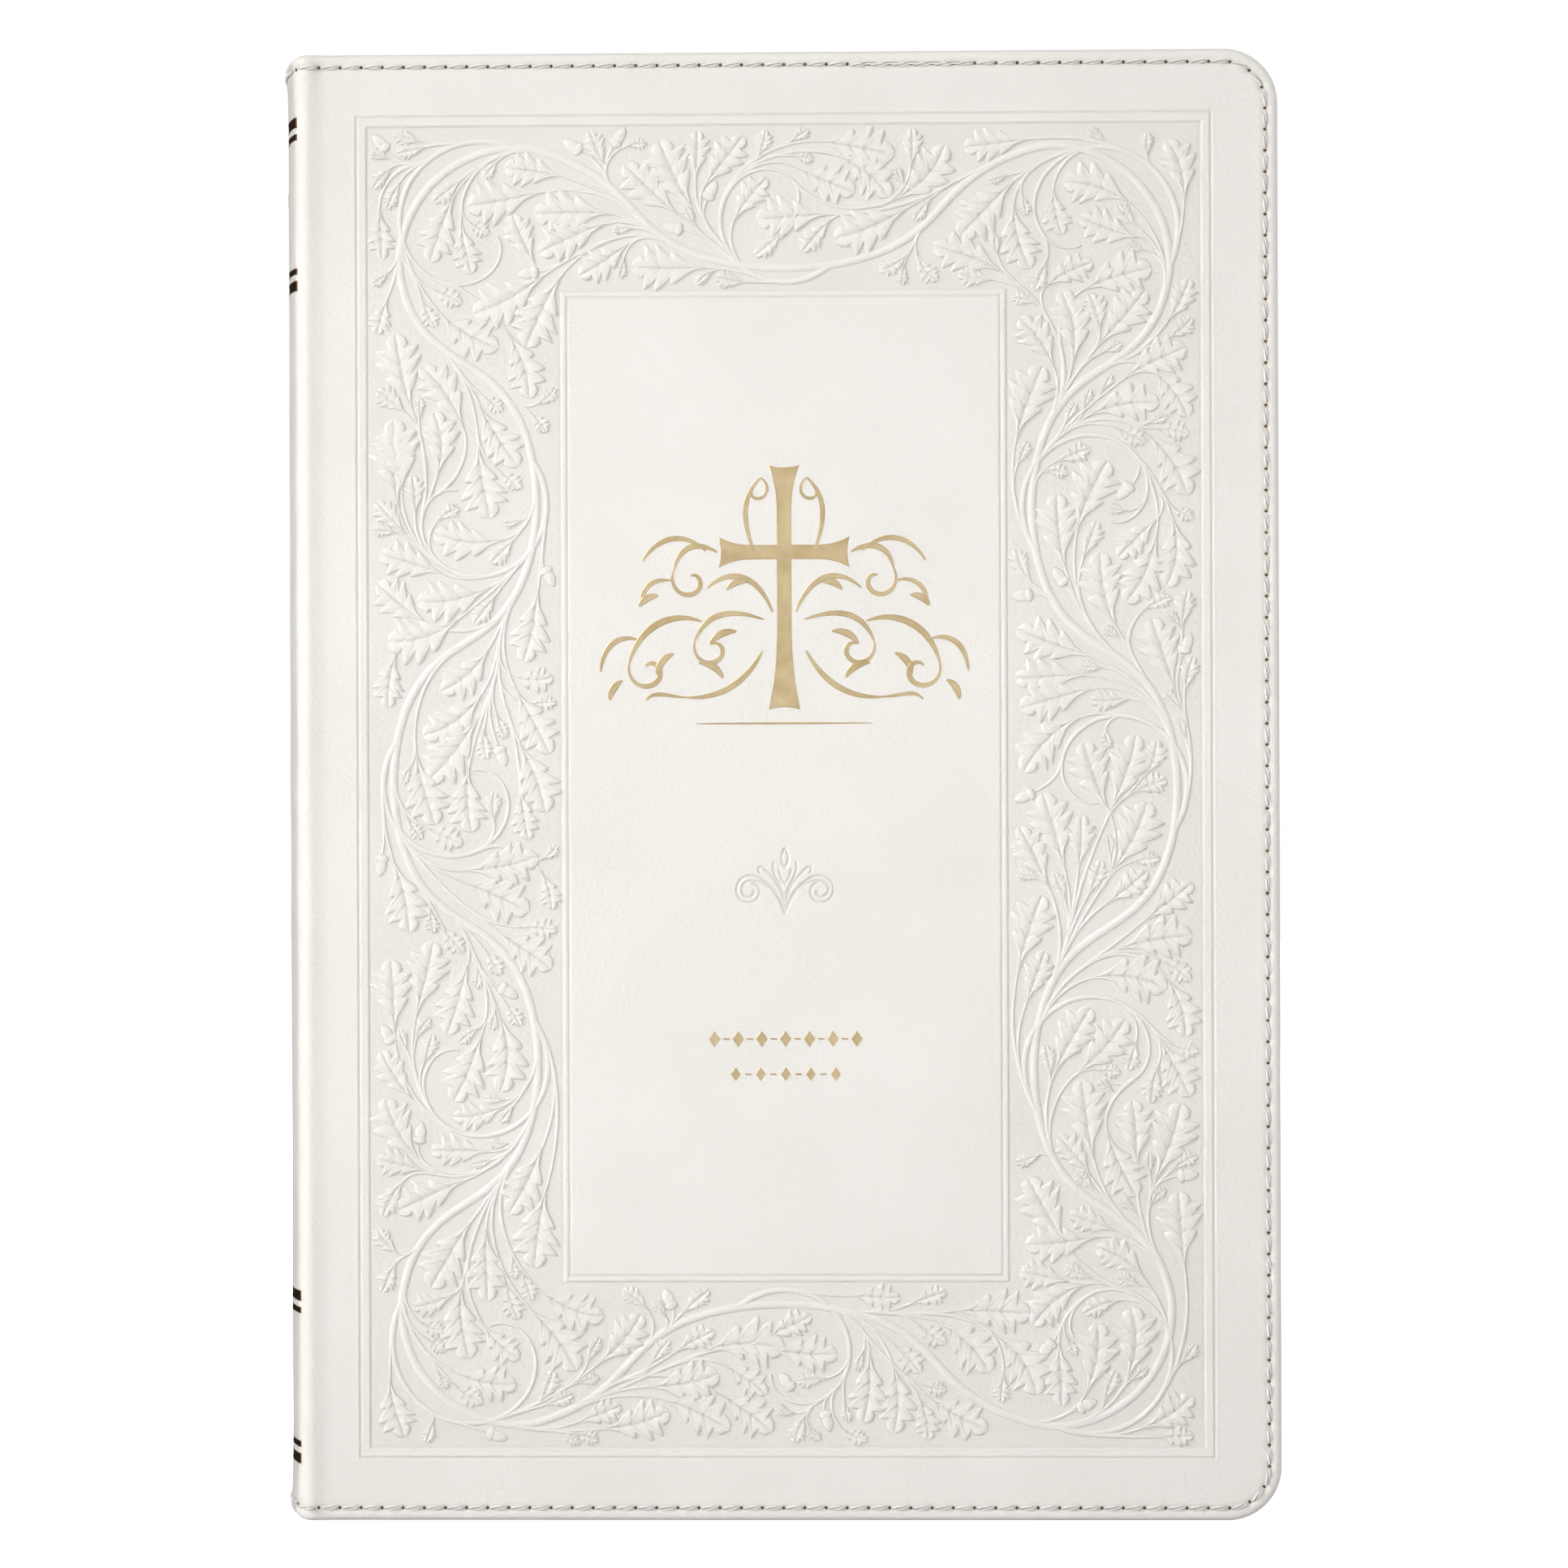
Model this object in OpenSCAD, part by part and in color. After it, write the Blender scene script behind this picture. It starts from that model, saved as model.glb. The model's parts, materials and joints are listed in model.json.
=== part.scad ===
// A closed bible in a stitched imitation-leather case, standing upright on its tail.
// X runs from the spine (-X) to the fore-edge (+X), the front cover faces -Y, and Z is up.
// The origin is at the middle of the bottom of the closed book.

/* [Book] */
// Width of the closed book, spine to fore-edge
book_w = 154.5; // [150:0.5:160]
// Height from tail to head
book_h = 229; // [222:1:236]
// Thickness through both covers
book_t = 35; // [34:0.5:38]
// Radius of the covers' fore-edge corners
corner_r = 8.5; // [7:0.5:10]

/* [Case] */
// Thickness of the imitation leather
skin_t = 0.9; // [0.8:0.05:1]
// Thickness of the cover boards
board_t = 1.1; // [0.9:0.1:1.3]
// Thickness of the pasted-down endpapers
pastedown_t = 0.3; // [0.2:0.05:0.35]
// Radius of the rounded spine, seen from above
spine_r = 70; // [62:1:80]
// Radius of the long edges between the spine and the covers
spine_edge_r = 2; // [1.8:0.1:2.4]
// Distance from the back of the spine to each cover's hinge line
hinge_inset = 4.85; // [4.7:0.05:5.2]

/* [Book block] */
// How far the covers stand proud of the pages
square_w = 3.2; // [2.8:0.2:4]
// Radius of the pages' fore-edge corners
page_corner_r = 7; // [5:0.5:8]
// Number of sewn sections that stay with the spine
section_count = 14; // [10:1:16]
// Thickness of each group of loose-turning leaves
leaves_t = 1.1; // [0.9:0.1:1.2]

/* [Decoration] */
// Distance from the cover's edge to the stitching
stitch_inset = 2; // [1.8:0.1:2.4]
// Distance from one stitch to the next
stitch_pitch = 3.3; // [3:0.1:4]
// Depth of the embossed border field
field_depth = 0.25; // [0.15:0.05:0.3]
// Distance from the top and bottom edges to the outer rule
field_margin = 9.8; // [9:0.1:11]
// Width of the embossed border
border_w = 27; // [25:0.5:29]

/* [Hidden] */
$fn = 48;
eps = 0.01;
cover_t = skin_t + board_t + pastedown_t;
half_t = book_t / 2;
inner_y = half_t - cover_t;
right_x = book_w / 2;

// Hinges: the axes lie just outside the covers, and the case is parted there
hinge_x = -right_x + hinge_inset;
hinge_gap = 0.3;
cover_x0 = hinge_x + hinge_gap;
turn_in_w = square_w;
rim_t = skin_t;

// Spine cross-section: one large arc, with a small arc at each long edge
spine_cx = -right_x + spine_r;
edge_cy = half_t - spine_edge_r;
edge_cx = spine_cx - sqrt(pow(spine_r - spine_edge_r, 2) - pow(edge_cy, 2));
arc_half_y = edge_cy - 0.4;
inlay_t = 0.5;
liner_t = 0.2;
mull_t = 0.2;
tape_t = 0.2;
layer_gap = 0.06;
inlay_d = skin_t;
liner_d = inlay_d + inlay_t + layer_gap;
mull_d = liner_d + liner_t + layer_gap;
tape_d = mull_d + mull_t;
block_r = spine_r - tape_d - tape_t - layer_gap;

// Pages
page_z0 = square_w;
page_h = book_h - 2 * square_w;
flyleaf_t = 0.3;
leaf_gap = 0.1;
front_groups = 3;
back_groups = 2;
fold_step = leaves_t + leaf_gap;
flyleaf_y = inner_y - 0.15;
first_group_y = flyleaf_y - flyleaf_t - leaf_gap;
fixed_front_y = -(first_group_y - front_groups * fold_step);
fixed_back_y = first_group_y - back_groups * fold_step;
section_t = (fixed_back_y - fixed_front_y) / section_count;
page_w = right_x - square_w - (spine_cx - sqrt(pow(block_r, 2) - pow(inner_y, 2)));
leaf_x0 = hinge_x + 1.1;
fold_x1 = leaf_x0 - 0.3;

// Decoration
thread_d = 0.5;
stitch_gap = 0.7;
groove_w = 1;
rule_w = 0.4;
rule_depth = 0.35;
rule_pair_gap = 1.6;
panel_pair_gap = 1;
foil_t = 0.1;
field_x0 = -66.2;
field_x1 = right_x - 10.4;
field_z0 = field_margin;
field_z1 = book_h - field_margin;
side_border_w = border_w + 4.8;
panel_x0 = field_x0 + side_border_w;
panel_x1 = field_x1 - side_border_w;
panel_z0 = field_z0 + border_w + 0.4;
panel_z1 = field_z1 - border_w - 0.4;
panel_cx = (panel_x0 + panel_x1) / 2;

// Spine bands: centre of each thick band, and the side its thin band lies on
spine_bands = [[218.5, -1], [193, 1], [35.1, -1], [9.7, 1]];
thick_band_h = 1.7;
thin_band_h = 1;
band_step = 2.25;
tape_heights = [34, 74, 114.5, 155, 195];
tape_h = 9;
head_band_r = 0.9;
head_band_angle = 11.5;

leather_colour = [0.91, 0.88, 0.86];
gold_colour = [0.74, 0.60, 0.33];
paper_colour = [0.95, 0.92, 0.85];
board_colour = [0.62, 0.58, 0.52];
cloth_colour = [0.88, 0.87, 0.83];

function two_digits(i) = i < 10 ? str("0", i) : str(i);
function section_name(i) = str("section_", two_digits(i + 1));
function leaves_name(side, i) = str(side, "_leaves_", i + 1);
function back_x(y) = spine_cx - sqrt(pow(block_r, 2) - pow(y, 2));
function fore_x(y) = back_x(y) + page_w;

// ---- Helpers ----

// Stands a flat shape up, its x along X and its y along Z, from y0 to y0 + t
module upright(y0, t)
    translate([0, y0 + t, 0]) rotate([90, 0, 0]) linear_extrude(t) children();

// Shape with a straight left side and two rounded right corners
module d_outline(left, right, low, high, r) {
    translate([left, low]) square([right - r - left, high - low]);
    translate([left, low + r]) square([right - left, high - low - 2 * r]);
    for (z = [low + r, high - r])
        translate([right - r, z]) circle(r);
}

module cover_outline(inset, left)
    d_outline(left, right_x - inset, inset, book_h - inset, corner_r - inset);

module page_outline(left, right)
    d_outline(left, right, page_z0, page_z0 + page_h, page_corner_r);

module rect(x0, x1, z0, z1)
    translate([x0, z0]) square([x1 - x0, z1 - z0]);

// A rectangle drawn as a line of width w, centred on its sides
module rule_frame(x0, x1, z0, z1, w)
    difference() {
        rect(x0 - w / 2, x1 + w / 2, z0 - w / 2, z1 + w / 2);
        rect(x0 + w / 2, x1 - w / 2, z0 + w / 2, z1 - w / 2);
    }

// A ring, cut to a wedge of less than half a turn
module ring_arc(r, w, from, to)
    intersection() {
        difference() {
            circle(r);
            circle(r - w);
        }
        polygon([
            [0, 0], 3 * r * [cos(from), sin(from)],
            3 * r * [cos((from + to) / 2), sin((from + to) / 2)], 3 * r * [cos(to), sin(to)]
        ]);
    }

// A pointed leaf of the given length and width, standing on its tip at the origin
module pointed_leaf(length, width) {
    r = (length * length / 4 + width * width / 4) / width;
    intersection() {
        translate([width / 2 - r, length / 2]) circle(r);
        translate([r - width / 2, length / 2]) circle(r);
    }
}

// ---- Case ----

module stitch_groove()
    difference() {
        cover_outline(stitch_inset - groove_w / 2, cover_x0 - 1);
        cover_outline(stitch_inset + groove_w / 2, cover_x0 - 2);
    }

module border_rules() {
    rule_frame(field_x0, field_x1, field_z0, field_z1, rule_w);
    rule_frame(
        panel_x0 + panel_pair_gap, panel_x1 - panel_pair_gap,
        panel_z0 + panel_pair_gap, panel_z1 - panel_pair_gap, rule_w
    );
}

module border_field()
    difference() {
        rect(
            field_x0 + rule_pair_gap, field_x1 - rule_pair_gap,
            field_z0 + rule_pair_gap, field_z1 - rule_pair_gap
        );
        rect(panel_x0, panel_x1, panel_z0, panel_z1);
    }

// The leather of one cover: a tray that is turned in round the board
module cover_skin()
    difference() {
        upright(-half_t, cover_t) cover_outline(0, cover_x0);
        upright(-half_t + skin_t, board_t) cover_outline(rim_t, cover_x0 - 1);
        upright(-inner_y - pastedown_t - eps, pastedown_t + 1)
            cover_outline(turn_in_w, cover_x0 - 1);
        upright(-half_t - 1, 1 + thread_d) stitch_groove();
    }

module front_cover_skin()
    color(leather_colour) difference() {
        cover_skin();
        upright(-half_t - 1, 1 + field_depth) border_field();
        upright(-half_t - 1, 1 + rule_depth) border_rules();
        upright(-half_t - 1, 1 + foil_t) title_shapes();
        upright(-half_t - 1, 1 + field_depth) fleuron_shapes();
    }

module back_cover_skin()
    color(leather_colour) mirror([0, 1, 0]) cover_skin();

module board()
    upright(-half_t + skin_t, board_t) cover_outline(rim_t, cover_x0);

module front_board() color(board_colour) board();

module back_board() color(board_colour) mirror([0, 1, 0]) board();

module pastedown()
    upright(-inner_y - pastedown_t, pastedown_t) cover_outline(turn_in_w, cover_x0);

module front_pastedown() color(paper_colour) pastedown();

module back_pastedown() color(paper_colour) mirror([0, 1, 0]) pastedown();

// ---- Stitching ----

bottom_run = right_x - corner_r - cover_x0 - stitch_pitch / 2;
corner_run = (corner_r - stitch_inset) * PI / 2;
side_run = book_h - 2 * corner_r;
stitch_run = 2 * bottom_run + 2 * corner_run + side_run;
stitch_count = floor(stitch_run / stitch_pitch);

// Place and heading of a point on the stitch line, s from its tail end at the hinge
function stitch_place(s) =
    s < bottom_run ? [right_x - corner_r - bottom_run + s, stitch_inset, 0]
    : s < bottom_run + corner_run ? corner_place(s - bottom_run, 0, corner_r)
    : s < bottom_run + corner_run + side_run ?
        [right_x - stitch_inset, corner_r + s - bottom_run - corner_run, 90]
    : s < bottom_run + 2 * corner_run + side_run ?
        corner_place(s - bottom_run - corner_run - side_run, 90, book_h - corner_r)
    : [right_x - corner_r - (s - stitch_run + bottom_run), book_h - stitch_inset, 180];

function corner_place(s, turn, z) =
    let (a = turn - 90 + 90 * s / corner_run, r = corner_r - stitch_inset)
    [right_x - corner_r + r * cos(a), z + r * sin(a), a + 90];

module stitching()
    for (i = [0 : stitch_count - 1]) {
        p = stitch_place((i + 0.5) * stitch_run / stitch_count);
        translate([p[0], -half_t + thread_d / 2, p[1]])
            rotate([0, 90 - p[2], 0])
            cylinder(d = thread_d, h = stitch_pitch - stitch_gap, center = true, $fn = 16);
    }

module front_stitching() color(cloth_colour) stitching();

module back_stitching() color(cloth_colour) mirror([0, 1, 0]) stitching();

// Stitches that carry the two lines round the spine, at its head and its tail
module spine_stitching() {
    angle_step = stitch_pitch / spine_r * 180 / PI;
    arc_stitches = 4;
    color(cloth_colour)
    for (z = [stitch_inset, book_h - stitch_inset], i = [-arc_stitches : arc_stitches])
        translate([spine_cx, 0, z])
            rotate([0, 0, 180 + i * angle_step])
            translate([spine_r - thread_d / 2 - 0.03, 0, 0])
            rotate([90, 0, 0])
            cylinder(d = thread_d, h = stitch_pitch - stitch_gap, center = true, $fn = 16);
}

// ---- Foil and blind tooling ----

cross_z0 = 126.5;
cross_h = 38;
cross_arm_w = 23;
cross_beam_z = 151;
cross_stem_w = 3.2;
cross_flare = 1.5;
scroll_r = [5.2, 4.2];
scroll_z = [147.5, 133];
scroll_x = [14.5, 18.5];
scroll_w = 0.9;
rule_z = 124.3;
rule_l = 27.4;
lozenge_rows = [[75.1, 7, 1.9], [69.6, 5, 1.6]];
lozenge_pitch = 4;
fleuron_z = 94.7;
fleuron_r = 2.3;

// A cross whose four arms widen towards their ends
module cross_shape(base, height, arm_w, beam_z, stem_w, flare) {
    s = stem_w / 2;
    polygon([
        [-s - flare, base], [s + flare, base], [s, base + 3 * flare], [s, beam_z - s],
        [arm_w / 2 - 3 * flare, beam_z - s], [arm_w / 2, beam_z - s - flare],
        [arm_w / 2, beam_z + s + flare], [arm_w / 2 - 3 * flare, beam_z + s],
        [s, beam_z + s], [s, base + height - 3 * flare], [s + flare, base + height],
        [-s - flare, base + height], [-s, base + height - 3 * flare], [-s, beam_z + s],
        [-arm_w / 2 + 3 * flare, beam_z + s], [-arm_w / 2, beam_z + s + flare],
        [-arm_w / 2, beam_z - s - flare], [-arm_w / 2 + 3 * flare, beam_z - s],
        [-s, beam_z - s], [-s, base + 3 * flare]
    ]);
}

// One scroll with its leaf, to the right of the cross
module scroll(i) {
    r = scroll_r[i];
    translate([scroll_x[i], scroll_z[i]]) {
        ring_arc(r, scroll_w, 160, 290);
        ring_arc(r, scroll_w, 285, 420);
        translate([r / 2 - scroll_w / 4, 0]) ring_arc(r / 2, scroll_w, 0, 120);
    }
    translate([scroll_x[i] + r, scroll_z[i] + 1]) rotate(-65) pointed_leaf(5.5, 2.2);
}

module title_shapes()
    translate([panel_cx, 0]) {
        cross_shape(cross_z0, cross_h, cross_arm_w, cross_beam_z, cross_stem_w, cross_flare);
        for (side = [0, 1], i = [0, 1])
            mirror([side, 0]) scroll(i);
        rect(-rule_l / 2, rule_l / 2, rule_z - 0.12, rule_z + 0.12);
        for (row = lozenge_rows, i = [0 : row[1] - 1])
            translate([(i - (row[1] - 1) / 2) * lozenge_pitch, row[0]])
                rotate(45) square(row[2], center = true);
    }

module title_foil()
    color(gold_colour) upright(-half_t, foil_t) title_shapes();

// A blind-tooled fleuron: two volutes, a pointed foot and a fan of petals
module fleuron_shapes()
    translate([panel_cx, fleuron_z]) {
        for (side = [0, 1])
            mirror([side, 0]) translate([5.4, 3.6]) {
                ring_arc(fleuron_r, 0.6, 0, 130);
                ring_arc(fleuron_r, 0.6, 125, 260);
                circle(0.7);
            }
        for (a = [-60, -30, 0, 30, 60])
            translate([0, 4.2]) rotate(a) pointed_leaf(a == 0 ? 6 : 4.4, 1.5);
        mirror([0, 1]) translate([0, -3.4]) pointed_leaf(3.4, 1.4);
    }

// ---- Spine ----

// Outline of the spine seen from above, drawn d inside its outer face
module spine_outline(d) {
    far_x = 0;
    edge_angle = asin(edge_cy / (spine_r - spine_edge_r));
    reach = 1.2 * spine_r;
    intersection() {
        translate([spine_cx, 0]) circle(spine_r - d, $fn = 180);
        polygon([
            [spine_cx, 0],
            [spine_cx - reach * cos(edge_angle), reach * sin(edge_angle)],
            [spine_cx - reach * cos(edge_angle), -reach * sin(edge_angle)]
        ]);
    }
    for (side = [-1, 1])
        translate([edge_cx, side * edge_cy]) circle(spine_edge_r - d);
    translate([edge_cx, -half_t + d]) square([far_x - edge_cx, book_t - 2 * d]);
    translate([edge_cx - eps, -edge_cy]) square([far_x - edge_cx, 2 * edge_cy]);
}

// A band of the spine's arc, from depth d to d + t, within half_y of its middle
module arc_layer(d, t, half_y, z0, z1)
    translate([0, 0, z0]) linear_extrude(z1 - z0) intersection() {
        translate([spine_cx, 0]) difference() {
            circle(spine_r - d, $fn = 180);
            circle(spine_r - d - t, $fn = 180);
        }
        translate([-right_x - 1, -half_y]) square([12, 2 * half_y]);
    }

module spine_band_places(extra)
    for (band = spine_bands) {
        thin_z = band[0] + band[1] * band_step;
        arc_layer(
            -extra, foil_t + extra, arc_half_y,
            band[0] - thick_band_h / 2, band[0] + thick_band_h / 2
        );
        arc_layer(
            -extra, foil_t + extra, arc_half_y,
            thin_z - thin_band_h / 2, thin_z + thin_band_h / 2
        );
    }

// Ornaments of the spine's top and bottom panels, cut through its outer face
module spine_ornaments(extra)
    intersection() {
        arc_layer(-extra, foil_t + extra, arc_half_y, 0, book_h);
        translate([-right_x - 2, 0, 0]) rotate([90, 0, 90]) linear_extrude(6) {
            cross_shape(199, 13, 8, 207.6, 1.2, 0.6);
            translate([0, 22.6]) rotate(45) square(5, center = true);
        }
    }

module spine_skin()
    color(leather_colour) difference() {
        linear_extrude(book_h) intersection() {
            difference() {
                spine_outline(0);
                spine_outline(skin_t);
            }
            translate([-right_x - 1, -half_t - 1])
                square([hinge_x - hinge_gap + right_x + 1, book_t + 2]);
        }
        spine_band_places(1);
        spine_ornaments(1);
        for (z = [stitch_inset, book_h - stitch_inset])
            arc_layer(-1, 1 + thread_d + 0.06, half_t, z - groove_w / 2, z + groove_w / 2);
    }

module spine_foil()
    color(gold_colour) {
        spine_band_places(0);
        spine_ornaments(0);
    }

module spine_inlay()
    color(board_colour) arc_layer(inlay_d, inlay_t, arc_half_y, rim_t, book_h - rim_t);

module spine_liner()
    color(board_colour) arc_layer(liner_d, liner_t, inner_y - 0.4, page_z0, page_z0 + page_h);

module mull_cloth()
    color(cloth_colour) arc_layer(mull_d, mull_t, inner_y - 0.4, page_z0 + 8, page_z0 + page_h - 8);

module sewing_tapes()
    color(cloth_colour) for (z = tape_heights)
        arc_layer(tape_d, tape_t, inner_y - 1, z - tape_h / 2, z + tape_h / 2);

module end_band(z)
    translate([spine_cx, 0, z])
        rotate([0, 0, 180 - head_band_angle])
        rotate_extrude(angle = 2 * head_band_angle, $fn = 180)
        translate([block_r - head_band_r - 0.1, 0]) circle(head_band_r, $fn = 24);

module head_band() color("gold") end_band(page_z0 + page_h + head_band_r);

module tail_band() color("gold") end_band(page_z0 - head_band_r);

// ---- Pages ----

// Leaves that turn with a cover, from depth y to y - t behind its inner face
module leaf_group(y, t, side)
    upright(side > 0 ? y - t : -y, t) page_outline(leaf_x0, fore_x(y));

module flyleaf(side)
    color(paper_colour) leaf_group(flyleaf_y, flyleaf_t, side);

module front_flyleaf() flyleaf(-1);

module back_flyleaf() flyleaf(1);

module leaves(side, i)
    color(paper_colour) leaf_group(first_group_y - i * fold_step, leaves_t, side);

// The folds of the turning leaves, which stay glued in the spine
module leaf_folds(side, depth) {
    y0 = side > 0 ? flyleaf_y - depth : -flyleaf_y;
    color(paper_colour)
        upright(y0, depth) rect(back_x(flyleaf_y), fold_x1, page_z0, page_z0 + page_h);
}

module front_leaf_folds() leaf_folds(-1, flyleaf_y + fixed_front_y);

module back_leaf_folds() leaf_folds(1, flyleaf_y - fixed_back_y);

// One sewn section, with a rounded fold at the spine
module section(i) {
    y0 = fixed_front_y + i * section_t;
    y_mid = y0 + section_t / 2;
    x0 = back_x(y_mid) + section_t / 2;
    color(paper_colour) {
        upright(y0, section_t) page_outline(x0, fore_x(y_mid));
        translate([x0, y_mid, page_z0]) cylinder(d = section_t, h = page_h);
    }
}

front_cover_skin();
front_board();
front_pastedown();
front_stitching();
title_foil();
back_cover_skin();
back_board();
back_pastedown();
back_stitching();
spine_skin();
spine_inlay();
spine_liner();
mull_cloth();
sewing_tapes();
spine_stitching();
spine_foil();
head_band();
tail_band();
front_flyleaf();
back_flyleaf();
front_leaf_folds();
back_leaf_folds();
for (i = [0 : front_groups - 1])
    leaves(-1, i);
for (i = [0 : back_groups - 1])
    leaves(1, i);
for (i = [0 : section_count - 1])
    section(i);
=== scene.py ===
"""Looks of a closed bible in a stitched, blind-tooled imitation-leather case, built round its CAD frame.
Lengths are in millimetres until a mesh is made."""

import json
import math

import bpy
import numpy as np
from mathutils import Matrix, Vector


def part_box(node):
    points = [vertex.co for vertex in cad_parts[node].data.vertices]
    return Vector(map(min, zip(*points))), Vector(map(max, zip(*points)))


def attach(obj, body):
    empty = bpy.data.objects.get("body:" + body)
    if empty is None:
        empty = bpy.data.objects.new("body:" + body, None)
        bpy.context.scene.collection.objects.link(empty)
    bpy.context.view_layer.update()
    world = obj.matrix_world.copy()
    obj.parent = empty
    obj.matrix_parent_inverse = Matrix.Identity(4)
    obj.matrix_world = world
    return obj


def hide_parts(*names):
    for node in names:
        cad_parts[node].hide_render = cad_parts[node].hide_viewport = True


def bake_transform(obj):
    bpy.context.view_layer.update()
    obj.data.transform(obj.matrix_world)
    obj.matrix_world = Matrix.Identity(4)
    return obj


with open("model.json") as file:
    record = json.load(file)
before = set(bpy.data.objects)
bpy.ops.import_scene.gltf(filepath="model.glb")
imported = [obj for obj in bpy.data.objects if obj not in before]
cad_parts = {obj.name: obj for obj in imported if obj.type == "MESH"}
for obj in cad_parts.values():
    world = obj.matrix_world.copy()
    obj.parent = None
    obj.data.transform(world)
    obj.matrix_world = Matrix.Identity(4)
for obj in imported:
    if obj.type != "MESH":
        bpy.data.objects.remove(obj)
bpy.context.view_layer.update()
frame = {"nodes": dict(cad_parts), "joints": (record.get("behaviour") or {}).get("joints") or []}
MM = 0.001
SEED = 11


def box_mm(node):
    """A CAD node's lowest and highest corners."""
    low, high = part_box(node)
    return np.array(low) / MM, np.array(high) / MM


# ---- Sizes, from the frame and a few driving dimensions ----
COVER_LOW, COVER_HIGH = box_mm("front_cover_skin")
SPINE_LOW, SPINE_HIGH = box_mm("spine_skin")
RIGHT, HEIGHT, HALF_T = COVER_HIGH[0], COVER_HIGH[2], -COVER_LOW[1]
COVER_T = COVER_HIGH[1] - COVER_LOW[1]
HINGES = {j["name"]: j for j in frame["joints"]}
HINGE_X = HINGES["front_cover_hinge"]["pos_m"][0] / MM
CORNER_R = 8.5
SPINE_R = 70.0
EDGE_R = 2.0
JOINT_T = 1.5  # leather and lining at the joint and the spine
SPINE_CX = SPINE_LOW[0] + SPINE_R
EDGE_CY = HALF_T - EDGE_R
EDGE_CX = SPINE_CX - math.sqrt((SPINE_R - EDGE_R) ** 2 - EDGE_CY**2)
SEAM_ANGLE = math.asin(EDGE_CY / (SPINE_R - EDGE_R))
SEAM_U = EDGE_CX - EDGE_R * (math.pi / 2 - SEAM_ANGLE)
SPINE_U = SEAM_U - SPINE_R * SEAM_ANGLE  # the middle of the spine
FAR_SEAM_U = 2 * SPINE_U - SEAM_U

STITCH_INSET = 2.0
STITCH_PITCH = 3.3
FIELD_DEPTH = 0.16
FIELD = (-66.2, RIGHT - 10.4, 9.8, HEIGHT - 9.8)  # outer rule: x0, x1, z0, z1
RULE_PAIR = 1.6
PANEL = (FIELD[0] + 31.8, FIELD[1] - 31.8, FIELD[2] + 27.4, FIELD[3] - 27.4)
PANEL_PAIR = 1.0
PANEL_CX = (PANEL[0] + PANEL[1]) / 2


class Shape:
    """The points, faces and per-point darkening of one piece. It is 0 on raised leather and 1 in a hollow,
    where it paints shade; on the head bands it marks their real stripes.
    """

    def __init__(self):
        self.points, self.tones, self.faces, self.slots, self.count = [], [], [], [], 0

    def add(self, points, tone=0.0):
        points = np.asarray(points, float)
        flat = points.reshape(-1, 3)
        self.points.append(flat)
        self.tones.append(np.broadcast_to(np.asarray(tone, float), points.shape[:-1]).reshape(-1))
        ids = np.arange(self.count, self.count + len(flat)).reshape(points.shape[:-1])
        self.count += len(flat)
        return ids

    def face_list(self, faces, slot=0):
        self.faces += faces
        self.slots += [slot] * len(faces)

    def grid(self, ids, slot=0, flip=False):
        """Quads over a 2-D array of ids; the first index runs right and the second up."""
        quads = np.stack([ids[:-1, :-1], ids[1:, :-1], ids[1:, 1:], ids[:-1, 1:]], -1).reshape(-1, 4)
        self.face_list((quads[:, ::-1] if flip else quads).tolist(), slot)

    def zip_rows(self, row_a, at_a, row_b, at_b, flip=False):
        """Triangles between two rows of points with different spacing, by their places along the rows."""
        i = j = 0
        faces = []
        while i < len(row_a) - 1 or j < len(row_b) - 1:
            step_b = i == len(row_a) - 1 or (j < len(row_b) - 1 and at_b[j + 1] <= at_a[i + 1])
            if step_b:
                faces.append([int(row_a[i]), int(row_b[j]), int(row_b[j + 1])])
                j += 1
            else:
                faces.append([int(row_a[i]), int(row_b[j]), int(row_a[i + 1])])
                i += 1
        self.face_list([f[::-1] for f in faces] if flip else faces)

    def make(self, name, body, slot, materials, replaces=(), sharp=None):
        """The Blender object, riding on a body unless body is None."""
        points = np.concatenate(self.points) * MM
        mesh = bpy.data.meshes.new(name)
        mesh.from_pydata(points.tolist(), [], self.faces)
        for material in materials:
            mesh.materials.append(material)
        mesh.polygons.foreach_set("material_index", self.slots)
        mesh.polygons.foreach_set("use_smooth", [True] * len(self.faces))
        rest = mesh.attributes.new("rest", "FLOAT_VECTOR", "POINT")
        rest.data.foreach_set("vector", points.astype(np.float32).ravel())
        tone = mesh.attributes.new("tone", "FLOAT", "POINT")
        tone.data.foreach_set("value", np.concatenate(self.tones).astype(np.float32))
        mesh.validate()
        if sharp is not None:
            mesh.set_sharp_from_angle(angle=math.radians(sharp))
        piece = bpy.data.objects.new(name, mesh)
        bpy.context.scene.collection.objects.link(piece)
        if body is not None:
            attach(piece, body)
        if replaces:
            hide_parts(*replaces)
        return piece


# ---- Materials ----


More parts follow.
